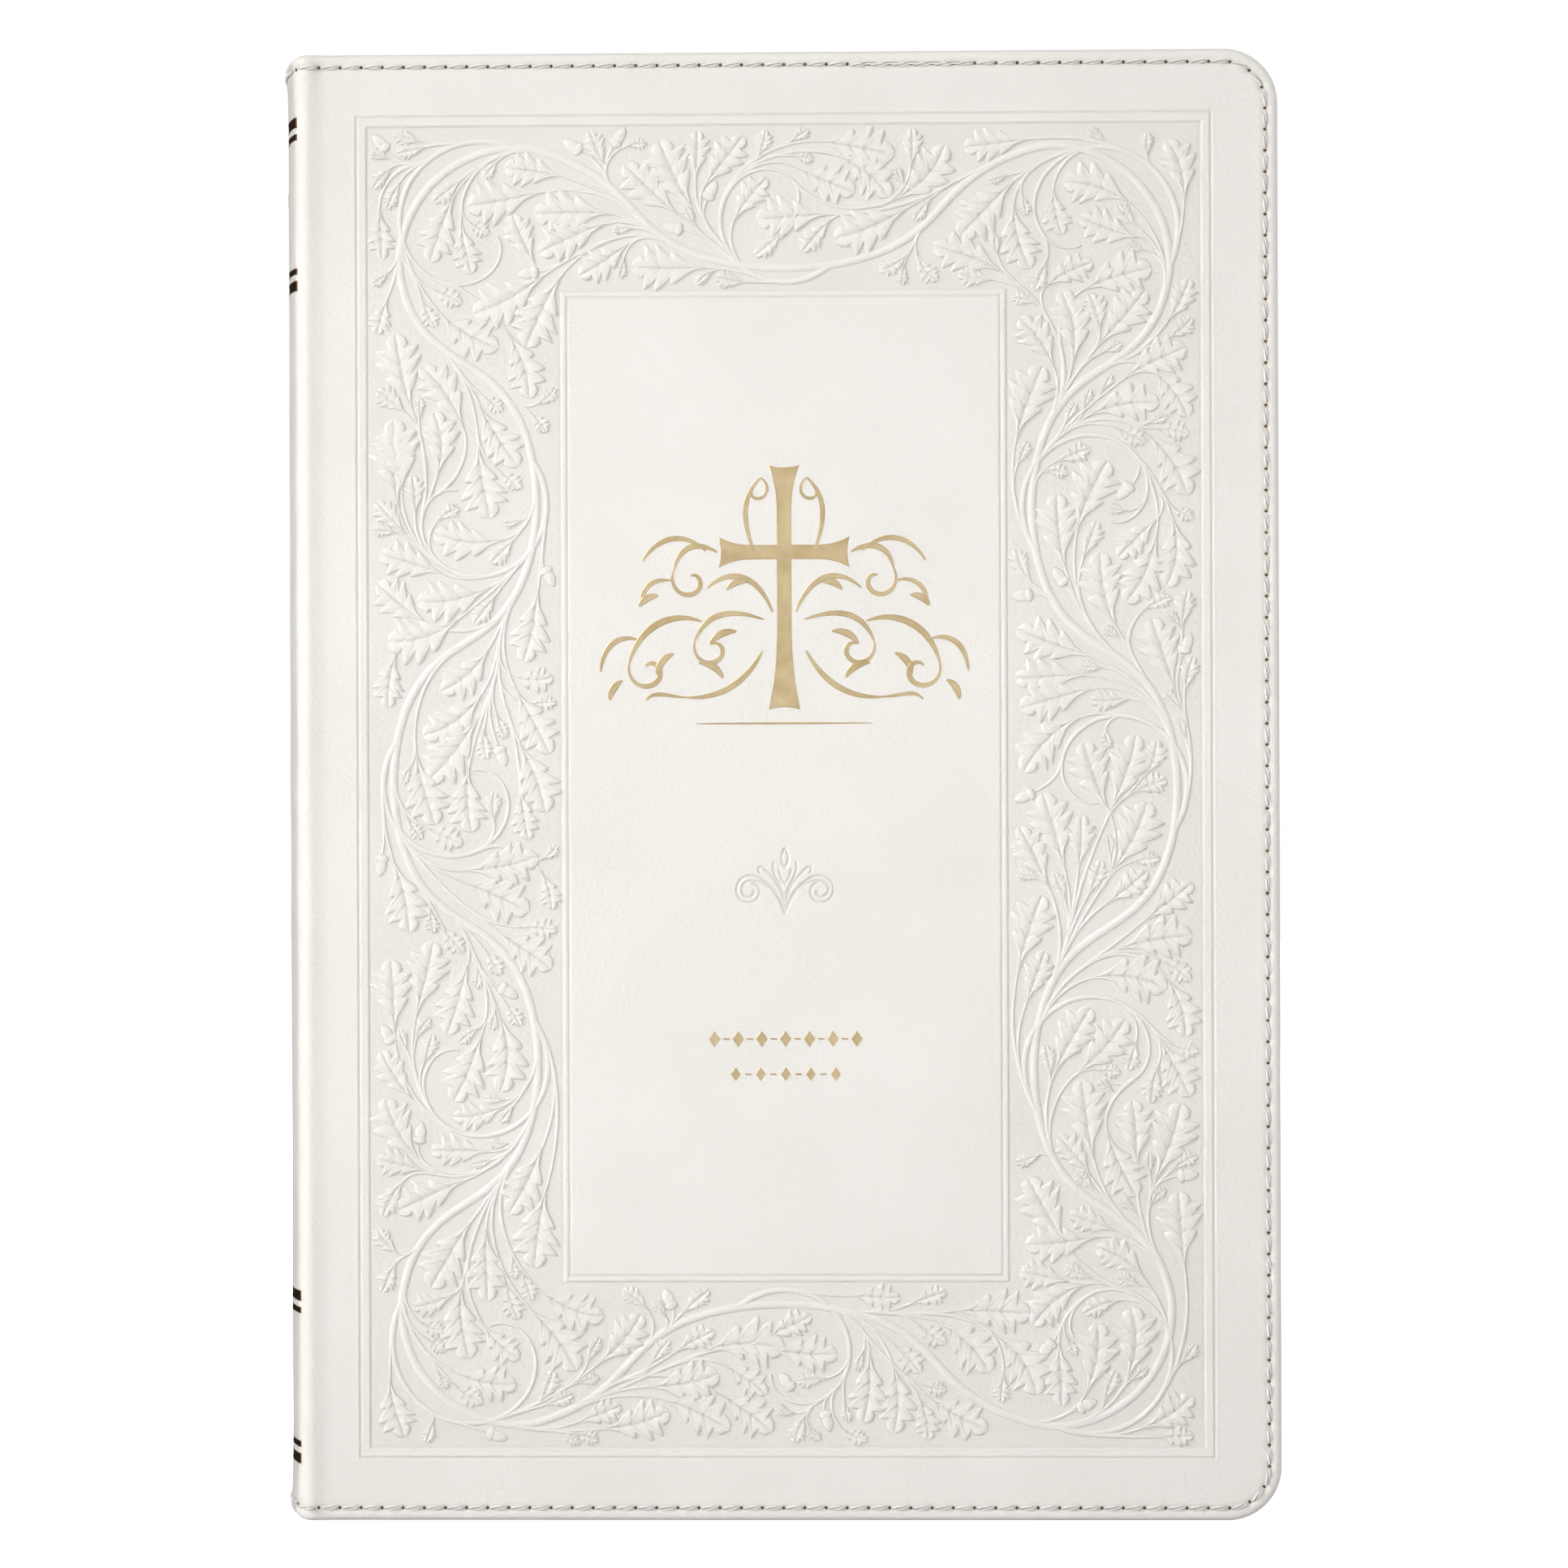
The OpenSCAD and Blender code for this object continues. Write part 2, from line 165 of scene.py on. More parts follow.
class Graph:
    """The nodes of a material or of the world, with short ways of adding to them."""

    def __init__(self, tree):
        self.nodes, self.links = tree.nodes, tree.links

    def node(self, kind, **settings):
        node = self.nodes.new("ShaderNode" + kind)
        for name, value in settings.items():
            setattr(node, name, value)
        return node

    def feed(self, socket, value):
        """Links a socket to another one, or sets its own number or colour."""
        if isinstance(value, (int, float)):
            socket.default_value = value
        elif isinstance(value, tuple):
            socket.default_value = value if len(value) == len(socket.default_value) else (*value, 1)
        else:
            self.links.new(value, socket)

    def rest(self, scale=(1, 1, 1), of_piece=True):
        """Coordinates in metres that stay with the surface: the stored rest place, or a CAD node's own."""
        mapping = self.node("Mapping")
        self.feed(mapping.inputs["Scale"], scale)
        if of_piece:
            source = self.node("Attribute", attribute_name="rest").outputs["Vector"]
        else:
            source = self.node("TexCoord").outputs["Object"]
        self.feed(mapping.inputs["Vector"], source)
        return mapping.outputs["Vector"]

    def tone(self):
        """The darkening stored at each of the piece's points: painted shade on leather and thread, real
        stripes on the head bands.
        """
        return self.node("Attribute", attribute_name="tone").outputs["Fac"]

    def noise(self, coordinates, scale, detail=3.0, roughness=0.55):
        node = self.node("TexNoise")
        self.feed(node.inputs["Scale"], scale)
        self.feed(node.inputs["Detail"], detail)
        self.feed(node.inputs["Roughness"], roughness)
        self.feed(node.inputs["Vector"], coordinates)
        return node.outputs["Fac"]

    def ramp(self, value, *stops):
        """A colour ramp over value; stops are (place, colour) pairs."""
        node = self.node("ValToRGB")
        for element, (place, colour) in zip(node.color_ramp.elements, stops):
            element.position = place
            element.color = (*colour, 1)
        self.feed(node.inputs["Fac"], value)
        return node.outputs["Color"]

    def spread(self, value, low, high):
        """Value from 0..1 mapped to low..high."""
        node = self.node("MapRange")
        self.feed(node.inputs["To Min"], low)
        self.feed(node.inputs["To Max"], high)
        self.feed(node.inputs["Value"], value)
        return node.outputs["Result"]

    def mix(self, factor, a, b, blend="MIX"):
        node = self.node("Mix", data_type="RGBA", blend_type=blend)
        for socket, value in ((0, factor), (6, a), (7, b)):
            self.feed(node.inputs[socket], value)
        return node.outputs[2]

    def bump(self, height, distance, strength, after=None):
        node = self.node("Bump")
        self.feed(node.inputs["Distance"], distance)
        self.feed(node.inputs["Strength"], strength)
        self.feed(node.inputs["Height"], height)
        if after is not None:
            self.feed(node.inputs["Normal"], after)
        return node.outputs["Normal"]


class Finish(Graph):
    """A new material, with its shader."""

    def __init__(self, name):
        self.material = bpy.data.materials.new(name)
        self.material.use_nodes = True
        super().__init__(self.material.node_tree)
        self.shader = self.nodes["Principled BSDF"]

    def done(self, **inputs):
        """The material, once its shader's inputs are set; an underscore stands for a space in a name."""
        for name, value in inputs.items():
            self.feed(self.shader.inputs[name.replace("_", " ")], value)
        return self.material


def leather_material():
    """Ivory imitation leather: a pebble grain over faint creases, greyer in the pressed field and darkened by
    painted shade in grooves, outlines and veins.
    """
    f = Finish("ivory_leather")
    at = f.rest()
    pebble = f.node("TexVoronoi", feature="SMOOTH_F1")
    f.feed(pebble.inputs["Scale"], 1500)
    f.feed(pebble.inputs["Smoothness"], 0.6)
    f.feed(pebble.inputs["Vector"], at)
    fine = f.noise(at, 5200, 2.0)
    plain_leather = f.ramp(f.noise(at, 45), (0.25, LEATHER_LOW), (0.75, LEATHER_HIGH))
    creases = f.noise(f.rest((110, 700, 700)), 1.0, 3.0, 0.6)
    coarse = f.bump(pebble.outputs["Distance"], 0.00010, 0.7, f.bump(creases, 0.00016, 0.5))
    return f.done(Base_Color=f.mix(f.tone(), plain_leather, LEATHER_SHADE_AND_FIELD), Roughness=f.spread(fine, 0.42, 0.60),
                  Specular_IOR_Level=0.4, Normal=f.bump(fine, 0.00003, 0.6, coarse))


def foil_material(name, low, high):
    """Stamped satin foil between two colours, with the leather's grain showing through it."""
    f = Finish(name)
    at = f.rest()
    grain = f.noise(at, 2600)
    return f.done(Base_Color=f.ramp(f.noise(at, 260, 2.0), (0.3, low), (0.7, high)), Metallic=1.0,
                  Roughness=f.spread(grain, 0.30, 0.50), Normal=f.bump(grain, 0.00003, 0.6))


def thread_material():
    """Off-white sewing thread, with painted shade where its plies touch and where it goes into the holes."""
    f = Finish("sewing_thread")
    fibre = f.noise(f.rest(), 9000, 2.0)
    plain = f.ramp(fibre, (0.3, (0.78, 0.76, 0.74)), (0.7, (0.90, 0.885, 0.87)))
    # painted shade: the thread darkens towards this colour where its plies touch and at its ends
    return f.done(Base_Color=f.mix(f.tone(), plain, (0.30, 0.25, 0.20)), Roughness=f.spread(fibre, 0.6, 0.85),
                  Sheen_Weight=0.3, Normal=f.bump(fibre, 0.00005, 0.6))


def hole_shade_material():
    """Painted shade: a dark brown colour for the shade inside a needle hole."""
    f = Finish("needle_hole_painted_shade")
    colour = f.ramp(f.noise(f.rest(), 2500), (0.3, (0.09, 0.05, 0.025)), (0.7, (0.20, 0.12, 0.06)))
    return f.done(Base_Color=colour, Roughness=0.95, Specular_IOR_Level=0.1)


def paper_material(name, low, high, of_piece=True):
    """Smooth paper with faint mottling and fibre."""
    f = Finish(name)
    at = f.rest(of_piece=of_piece)
    fibre = f.noise(at, 1800, 5.0, 0.7)
    mottled = f.ramp(f.noise(at, 60), (0.3, low), (0.7, high))
    return f.done(Base_Color=f.mix(fibre, mottled, low), Roughness=f.spread(fibre, 0.75, 0.92),
                  Specular_IOR_Level=0.25, Normal=f.bump(fibre, 0.00002, 0.5))


def gilt_material():
    """Gilt page edges: streaks along the leaves, where the gold is thin between them."""
    f = Finish("gilt_edge")
    streaks = f.noise(f.rest((12, 4200, 12)), 1.0, 4.0, 0.7)
    worn = f.spread(f.noise(f.rest(), 140, 2.0), 0.0, 0.35)
    gold = f.ramp(streaks, (0.30, (0.50, 0.36, 0.17)), (0.62, (0.80, 0.62, 0.34)))
    return f.done(Base_Color=f.mix(worn, gold, (0.80, 0.70, 0.50)), Metallic=0.85,
                  Roughness=f.spread(streaks, 0.28, 0.46), Normal=f.bump(streaks, 0.0001, 0.8))


def band_material():
    """Woven head band in cream and gold, striped by the value stored at its points."""
    f = Finish("band_cloth")
    fibre = f.noise(f.rest(), 6000, 2.0)
    stripes = f.mix(f.tone(), (0.82, 0.78, 0.68), (0.52, 0.36, 0.12))
    return f.done(Base_Color=f.mix(f.spread(fibre, 0, 0.3), stripes, (0.9, 0.86, 0.76)), Roughness=0.7,
                  Sheen_Weight=0.4, Normal=f.bump(fibre, 0.00005, 0.7))


def cloth_material():
    """Open woven mull and tape, for the CAD pieces behind the spine."""
    f = Finish("mull_weave")
    weave = f.node("TexBrick")
    f.feed(weave.inputs["Scale"], 900)
    f.feed(weave.inputs["Color1"], (0.80, 0.77, 0.70))
    f.feed(weave.inputs["Color2"], (0.72, 0.69, 0.62))
    f.feed(weave.inputs["Mortar"], (0.45, 0.42, 0.36))
    f.feed(weave.inputs["Vector"], f.rest(of_piece=False))
    return f.done(Base_Color=weave.outputs["Color"], Roughness=0.9,
                  Normal=f.bump(weave.outputs["Fac"], 0.0001, 0.6))


LEATHER_LOW, LEATHER_HIGH = (0.758, 0.730, 0.690), (0.798, 0.773, 0.735)
# painted shade: darker leather for grooves, leaf outlines, veins and stitch lines, also used to grey the
# pressed field
LEATHER_SHADE_AND_FIELD = (0.52, 0.48, 0.43)
LEATHER = leather_material()
FOIL = foil_material("gold_foil", (0.74, 0.57, 0.31), (0.92, 0.74, 0.45))
# painted reflection: the spine's gold foil in dark brown, standing in for the dark surroundings it reflects
SPINE_FOIL_PAINTED_DARK = foil_material("gold_foil_painted_dark", (0.26, 0.16, 0.09), (0.36, 0.23, 0.13))
THREAD = thread_material()
# painted shade: the needle holes' dark colour stands in for the shade inside them
HOLE_SHADE = hole_shade_material()
BIBLE_PAPER = paper_material("bible_paper", (0.80, 0.76, 0.68), (0.86, 0.83, 0.76))
END_PAPER = paper_material("end_paper", (0.80, 0.76, 0.69), (0.85, 0.82, 0.76))
END_PAPER_CAD = paper_material("end_paper_cad", (0.80, 0.76, 0.69), (0.85, 0.82, 0.76), of_piece=False)
GILT = gilt_material()
BAND = band_material()
BOARD = paper_material("binders_board", (0.34, 0.30, 0.25), (0.46, 0.41, 0.35), of_piece=False)
CLOTH = cloth_material()


# ---- The case's surface ----


def wrap(u, z, h, side=-1):
    """A point on the case. u is X on a cover and goes on round the spine, h stands out of the surface."""
    u, z, h = np.broadcast_arrays(np.asarray(u, float), np.asarray(z, float), np.asarray(h, float))
    edge_a = math.pi / 2 - (EDGE_CX - u) / EDGE_R
    spine_a = SEAM_ANGLE - (SEAM_U - u) / SPINE_R
    edge_reach = np.maximum(EDGE_R + h, 0.05)
    x = np.where(u >= EDGE_CX, u, np.where(
        u >= SEAM_U, EDGE_CX - edge_reach * np.cos(edge_a), SPINE_CX - (SPINE_R + h) * np.cos(spine_a)))
    y = np.where(u >= EDGE_CX, HALF_T + h, np.where(
        u >= SEAM_U, EDGE_CY + edge_reach * np.sin(edge_a), (SPINE_R + h) * np.sin(spine_a)))
    return np.stack([x, side * y, z], -1)


def smooth(x, low, high):
    """A soft step from 0 at low to 1 at high."""
    t = np.clip((x - low) / (high - low), 0, 1)
    return t * t * (3 - 2 * t)


def groove(distance, half_width):
    """1 on a line and 0 away from it, with soft sides."""
    return np.exp(-((distance / half_width) ** 2))


def off_rectangle(x, z, rectangle, inset=0.0):
    """Signed distance to a rectangle's sides, negative inside, with square corners."""
    x0, x1, z0, z1 = rectangle
    beside = np.abs(x - (x0 + x1) / 2) - (x1 - x0) / 2
    above = np.abs(z - (z0 + z1) / 2) - (z1 - z0) / 2
    return np.maximum(beside, above) + inset


def sideways(turn):
    """The unit direction to the left of a heading."""
    return np.stack([-np.sin(turn), np.cos(turn)], -1)


def forwards(turn):
    """The unit direction of a heading."""
    return np.stack([np.cos(turn), np.sin(turn)], -1)


FULL_TURN = 6.283
WAVES = np.random.default_rng(SEED).uniform(0, 1, (18, 4))


def undulation(u, z):
    """The slight unevenness of leather: waves of 14 to 60 mm, mirrored past the middle of the spine."""
    u = SPINE_U + np.abs(u - SPINE_U)
    total = np.zeros(np.broadcast(u, z).shape)
    for turn, length, phase, weight in WAVES:
        k = 2 * math.pi / (14 + 46 * length)
        along = u * math.cos(FULL_TURN * turn) + z * math.sin(FULL_TURN * turn)
        total += (0.3 + weight) * np.sin(k * along + FULL_TURN * phase)
    return 0.012 * total


def edge_distance(u, z):
    """Distance to the cover's edge, on the straight runs."""
    return np.minimum(np.minimum(z, HEIGHT - z), RIGHT - u)


def dip(u, d):
    """How far the case's head and tail edges round down towards the spine, fading inwards."""
    return 0.6 * (1 - smooth(np.asarray(u, float), SEAM_U - 1.0, EDGE_CX - 0.4)) * (1 - smooth(d, 2.4, 7.6))


def level(u, z, d):
    """Height of the leather without its seam: uneven, fuller round the spine and flared at its ends."""
    full = 0.6 + 0.45 * np.exp(-np.maximum(d, 0) / 5.0)
    return undulation(u, z) + full * (1 - smooth(np.asarray(u, float), SEAM_U, EDGE_CX + 2.6))


def case_height(u, z, d, along=None):
    """Height of plain leather at distance d from its edge, along the stitch line."""
    h = level(u, z, d)
    h = h - 0.12 * groove(d - STITCH_INSET, 0.4)
    h = h + 0.04 * groove(d - 3.0, 0.6) + 0.03 * groove(d - 1.1, 0.4)
    if along is not None:
        to_hole = np.abs((along / STITCH_PITCH + 0.5) % 1 - 0.5) * STITCH_PITCH
        h = h - 0.13 * groove(to_hole, 0.5) * groove(d - STITCH_INSET, 0.7)
    return h


def bezier(a, b, c, d, count=40):
    """Points along a cubic curve."""
    t = np.linspace(0, 1, count)[:, None]
    terms = zip((1, 3, 3, 1), (a, b, c, d))
    return sum(n * t**i * (1 - t) ** (3 - i) * np.asarray(p, float) for i, (n, p) in enumerate(terms))


def fleuron_strokes():
    """The blind-tooled fleuron as (points, half width) strokes: ribbed volutes and a crown of petals."""
    strokes = []
    for side in (-1, 1):
        flip = np.array([side, 1])
        for foot, lean, top, reach, heart, turns in (
                (0.0, 1.0, 5.85, 2.35, 1.3, 1.9), (1.0, 1.3, 5.05, 1.55, 0.6, 1.5)):
            strokes.append((bezier((0, foot), (lean, foot + 2.6), (2.7, top), (5.5, top)) * flip, 0.17))
            a = np.linspace(0.5, 0.5 - turns, 70) * math.pi
            r = np.linspace(reach, heart, 70)[:, None]
            strokes.append(((np.array([5.5, 3.5]) + r * forwards(a)) * flip, 0.15))
        strokes.append((bezier((0.1, 1.9), (0.9, 4.6), (2.2, 6.0), (3.3, 7.0)) * flip, 0.15))
        strokes.append((bezier((3.3, 7.0), (3.9, 7.6), (4.5, 6.9), (3.9, 6.3), 20) * flip, 0.15))
        strokes.append((bezier((0.1, 2.9), (0.9, 4.8), (2.2, 6.4), (1.75, 7.9)) * flip, 0.17))
        strokes.append((bezier((0, 4.6), (0.5, 5.2), (0.9, 5.9), (0.9, 6.8)) * flip, 0.13))
        strokes.append((bezier((0, 7.2), (0.75, 7.9), (0.6, 9.2), (0, 10.1)) * flip, 0.15))
    return strokes


FLEURON_Z = 94.7


def fleuron_height(u, z):
    """Depth of the fleuron's strokes, from 0 to 1."""
    near = (np.abs(u - PANEL_CX) < 9) & (np.abs(z - FLEURON_Z - 5) < 6)
    h = np.zeros(u.shape)
    place = np.stack([u[near] - PANEL_CX, z[near] - FLEURON_Z], -1)
    deep = np.zeros(len(place))
    for points, half in fleuron_strokes():
        gap = np.sqrt(((place[:, None] - points[None]) ** 2).sum(-1)).min(1)
        deep = np.maximum(deep, 1 - smooth(gap, half * 0.5, half * 1.7))
    h[near] = deep
    return h


def tooled_relief(u, z):
    """Front cover: height and darkening of the double rules, the pressed border field and the fleuron; greyer
    in the field, painted shade in the rules' grooves and the fleuron's strokes.
    """
    outer = off_rectangle(u, z, FIELD)
    panel = off_rectangle(u, z, PANEL)
    field = smooth(-outer, RULE_PAIR - 0.25, RULE_PAIR + 0.25) * smooth(panel, -0.25, 0.25)
    lines = groove(outer, 0.19) + groove(panel + PANEL_PAIR, 0.18)
    lines = lines + 0.6 * groove(outer + RULE_PAIR, 0.19) + 0.6 * groove(panel, 0.19)
    shoulders = groove(outer - 0.4, 0.2) + groove(outer + 0.4, 0.2)
    fleuron = fleuron_height(u, z)
    h = -FIELD_DEPTH * field - 0.14 * lines + 0.02 * shoulders - 0.14 * fleuron
    return h, np.clip(0.17 * field + 0.30 * lines + 0.45 * fleuron, 0, 1)


def plain_relief(u, z):
    """Back cover: height of its double rule, and painted shade in its grooves."""
    outer = off_rectangle(u, z, FIELD)
    lines = groove(outer, 0.24) + groove(outer + RULE_PAIR, 0.22)
    return -0.15 * lines, 0.30 * lines


def spaced(low, high, step, dense=()):
    """Places from low to high, closer together in each dense (middle, half width, step) stretch."""
    places = list(np.linspace(low, high, int((high - low) / step) + 2))
    for middle, half, fine in dense:
        places = [p for p in places if abs(p - middle) > half or p in (low, high)]
        places += [p for p in np.arange(middle - half, middle + half + fine / 2, fine) if low < p < high]
    places = np.array(sorted(places))
    keep = np.concatenate([[True], np.diff(places) > 0.04])
    keep[-1] = True
    return places[keep]


def rule_stretches(low, high, pair, dense):
    """The dense stretches at a double rule's four lines."""
    return [(place, *dense) for place in (low, high, low + pair, high - pair)]


RULE_DENSE, PANEL_DENSE = (0.85, 0.1), (0.7, 0.12)  # half width and step beside each rule
STRIP_D = (7.6, 6.6, 5.6, 4.6, 3.9, 3.4, 3.0, 2.7, 2.45, 2.2, 2.0, 1.8, 1.55, 1.3)
ROLL = np.radians(np.linspace(0, 180, 13))
ROLL_REACH = 1.15  # how far in from its edge the case starts to round over
SUPER = 2 / 2.7  # squares the rolled edge up a little

RUN, TALL = RIGHT - CORNER_R - SEAM_U, HEIGHT - 2 * CORNER_R  # the seam's straight stretches
CORNER_CX, SEAM_R = RIGHT - CORNER_R, CORNER_R - STITCH_INSET
CORNER = SEAM_R * math.pi / 2
PATH_LENGTH = 2 * RUN + TALL + 2 * CORNER


def roll_rows(u):
    """(distance, height) rows that turn the leather round the board's edge and a little way inside."""
    thick = JOINT_T + (COVER_T - JOINT_T) * smooth(u, HINGE_X - 0.5, HINGE_X + 2.5)
    half = thick / 2
    rows = []
    for a in ROLL:
        across = abs(math.sin(a)) ** SUPER
        down = math.copysign(abs(math.cos(a)) ** SUPER, math.cos(a))
        rows.append((ROLL_REACH * (1 - across), -half * (1 - down)))
    for d in (2.0, 3.3):
        rows.append((d, -thick + 0.02))
    return rows


def stitch_path(d):
    """(u, z, place along the stitch line) round a cover's three free edges, at distance d from them."""
    turn = np.linspace(0, math.pi / 2, 26)[1:-1]
    out, up = (CORNER_R - d) * np.sin(turn), (CORNER_R - d) * np.cos(turn)
    low_u = spaced(SEAM_U, CORNER_CX, 0.5)
    side_z = spaced(CORNER_R, HEIGHT - CORNER_R, 0.5)
    after = RUN + CORNER + TALL
    arc = CORNER * turn / (math.pi / 2)
    stretches = (
        (low_u, d + dip(low_u, d), low_u - SEAM_U),
        (CORNER_CX + out, CORNER_R - up, RUN + arc),
        (0 * side_z + RIGHT - d, side_z, RUN + CORNER + side_z - CORNER_R),
        (CORNER_CX + up, HEIGHT - CORNER_R + out, after + arc),
        (low_u[::-1], HEIGHT - d - dip(low_u[::-1], d), after + CORNER + CORNER_CX - low_u[::-1]),
    )
    return [np.concatenate(column) for column in zip(*stretches)]


def cover_leather(name, side, relief, fine_u=(), fine_z=()):
    """One cover's leather, from the spine's edge to the turned-in fore-edge."""
    shape = Shape()
    flip = side > 0
    rules_u = rule_stretches(FIELD[0], FIELD[1], RULE_PAIR, RULE_DENSE)
    rules_z = rule_stretches(FIELD[2], FIELD[3], RULE_PAIR, RULE_DENSE)
    us = spaced(SEAM_U, RIGHT - CORNER_R, 2.0, [(EDGE_CX, 4.0, 0.3), *rules_u, *fine_u])
    zs = spaced(CORNER_R, HEIGHT - CORNER_R, 2.0, [*rules_z, *fine_z])
    u, z = np.meshgrid(us, zs, indexing="ij")
    height, tone = relief(u, z)
    height = height + case_height(u, z, edge_distance(u, z))
    ids = shape.add(wrap(u, z, height, side), tone)
    shape.grid(ids, flip=flip)
    rows = []
    for d in STRIP_D:
        row_u, row_z, along = stitch_path(d)
        height, tone = relief(row_u, row_z)
        height = height + case_height(row_u, row_z, d, along)
        # painted shade along the stitch groove
        tone = np.clip(tone + 0.2 * groove(d - STITCH_INSET, 0.35), 0, 1)
        rows.append(shape.add(wrap(row_u, row_z, height, side), tone))
    for distance, drop in roll_rows(row_u):
        rolled_u, rolled_z, _ = stitch_path(distance)
        height = case_height(rolled_u, rolled_z, ROLL_REACH) * (1 + drop / COVER_T) + drop
        rows.append(shape.add(wrap(rolled_u, rolled_z, height, side), 0.0))
    shape.grid(np.stack(rows, 1)[:, ::-1], flip=flip)
    edge = np.concatenate([ids[:, 0], ids[-1, 1:], ids[-2::-1, -1]])
    at = np.concatenate([us[:-1] - SEAM_U, [RUN + CORNER / 2], RUN + CORNER + zs[1:-1] - CORNER_R,
                         [RUN + 1.5 * CORNER + TALL], 2 * CORNER + TALL + RUN + CORNER_CX - us[-2::-1]])
    shape.zip_rows(edge, at, rows[0], along, flip=flip)
    cover = "front_cover_skin" if side < 0 else "back_cover_skin"
    piece = shape.make(name, None, "case_leather", [LEATHER], [cover])
    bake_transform(piece)


BANDS = ((218.5, -1), (193.0, 1), (35.1, -1), (9.7, 1))  # thick band's height, side of its thin band
BAND_STEP, THICK_BAND, THIN_BAND = 2.25, 1.7, 1.0
BAND_OVER = 0.9  # how far the bands run on over the case's edges


def band_rows():
    """(middle, half height) of each foil band on the spine."""
    for middle, side in BANDS:
        yield middle, THICK_BAND / 2
        yield middle + side * BAND_STEP, THIN_BAND / 2


def spine_leather():
    """The leather across the spine, pressed in under the foil bands."""
    shape = Shape()
    us = np.linspace(FAR_SEAM_U, SEAM_U, 61)
    zs = spaced(CORNER_R, HEIGHT - CORNER_R, 2.0, [(z, half + 0.5, 0.2) for z, half in band_rows()])
    u, z = np.meshgrid(us, zs, indexing="ij")
    pressed = sum(smooth(half + 0.15 - np.abs(z - middle), 0, 0.3) for middle, half in band_rows())
    height = case_height(u, z, np.minimum(z, HEIGHT - z)) - 0.08 * pressed
    # painted shade where the leather is pressed in under the foil bands
    ids = shape.add(wrap(u, z, height), 0.3 * pressed)
    shape.grid(ids)
    for head in (False, True):
        rows = []
        for d in STRIP_D:
            row_z = HEIGHT - d - dip(us, d) if head else d + dip(us, d)
            height = case_height(us, row_z, d, us - SEAM_U)
            # painted shade along the stitch groove
            rows.append(shape.add(wrap(us, row_z, height), 0.2 * groove(d - STITCH_INSET, 0.35)))
        for distance, drop in roll_rows(us):
            row_z = HEIGHT - distance - dip(us, 0) if head else distance + dip(us, 0)
            height = case_height(us, row_z, ROLL_REACH) * (1 + drop / COVER_T) + drop
            rows.append(shape.add(wrap(us, row_z, height), 0.0))
        edge = ids[:, -1] if head else ids[:, 0]
        shape.grid(np.stack([edge, *rows], 1), flip=not head)
    shape.make("spine_leather", "book_block", "case_leather", [LEATHER], ["spine_skin"])


DENSE_U = rule_stretches(PANEL[0], PANEL[1], PANEL_PAIR, PANEL_DENSE) + [(PANEL_CX, 9.2, 0.13)]
DENSE_Z = rule_stretches(PANEL[2], PANEL[3], PANEL_PAIR, PANEL_DENSE) + [(FLEURON_Z + 5, 6.2, 0.13)]
cover_leather("front_leather", -1, tooled_relief, DENSE_U, DENSE_Z)
cover_leather("back_leather", 1, plain_relief)
spine_leather()


# ---- Stitching ----


def surface_frame(u, z, side, ahead_u, ahead_z):
    """A place on the case with its tangent, its outward normal and the direction across."""
    high = level(np.array(u), np.array(z), STITCH_INSET)
    here = wrap(u, z, high, side)
    tangent = wrap(u + ahead_u, z + ahead_z, high, side) - here
    tangent /= np.linalg.norm(tangent)
    normal = wrap(u, z, high + 0.5, side) - here
    normal /= np.linalg.norm(normal)
    return here, tangent, normal, np.cross(normal, tangent)


def add_stitch(shape, place, length, shift=0.0, lean=0.06, lift=0.0):
    """One stitch of two plies twisted together, both its ends drawn down into the needle holes."""
    here, tangent, normal, across = place
    tangent = tangent + lean * across
    t = np.linspace(0, 1, 11)
    ring = np.linspace(0, 2 * math.pi, 9)[:-1]
    rise = 0.16 * (1 - (2 * t - 1) ** 4) - 0.30 * np.abs(2 * t - 1) ** 6 - 0.06 + lift
    pinch = 0.72 + 0.28 * (1 - (2 * t - 1) ** 4)
    line = here + np.outer((t - 0.5) * length, tangent) + np.outer(rise, normal) + shift * across
    around = np.cos(ring)[:, None] * normal + np.sin(ring)[:, None] * across
    for ply in (0, 1):
        twist = 1.1 * math.pi * t + math.pi * ply
        off = np.outer(0.09 * np.cos(twist), normal) + np.outer(0.15 * np.sin(twist), across)
        points = (line + off)[:, None] + (0.19 * pinch)[:, None, None] * around[None]
        # painted shade where one ply touches the other and at both ends, where the thread goes into the holes
        to_other = np.linalg.norm(points - (line - off)[:, None], axis=-1)
        dark = 1 - smooth(to_other, 0.22, 0.33) + 0.5 * (np.abs(2 * t - 1) ** 10)[:, None]
        ids = shape.add(points, np.clip(dark, 0, 1))
        shape.grid(np.concatenate([ids, ids[:, :1]], 1))
        shape.face_list([ids[0][::-1].tolist(), ids[-1].tolist()])


def add_hole(shape, place, slot=0, radius=0.27):
    """A needle hole, a shallow dish wider across the seam, dark with painted shade."""
    here, tangent, normal, across = place
    ring = np.linspace(0, 2 * math.pi, 11)[:-1]
    rings = []
    for reach, lift in ((1.0, -0.28), (0.9, -0.10), (0.5, -0.15)):
        around = np.cos(ring)[:, None] * tangent * 0.9 + np.sin(ring)[:, None] * across * 1.15
        rings.append(here + lift * normal + radius * reach * around)
    ids = shape.add(np.stack(rings, 1))
    shape.grid(np.concatenate([ids, ids[:1]], 0), slot)
    shape.face_list([ids[:, -1].tolist()], slot)


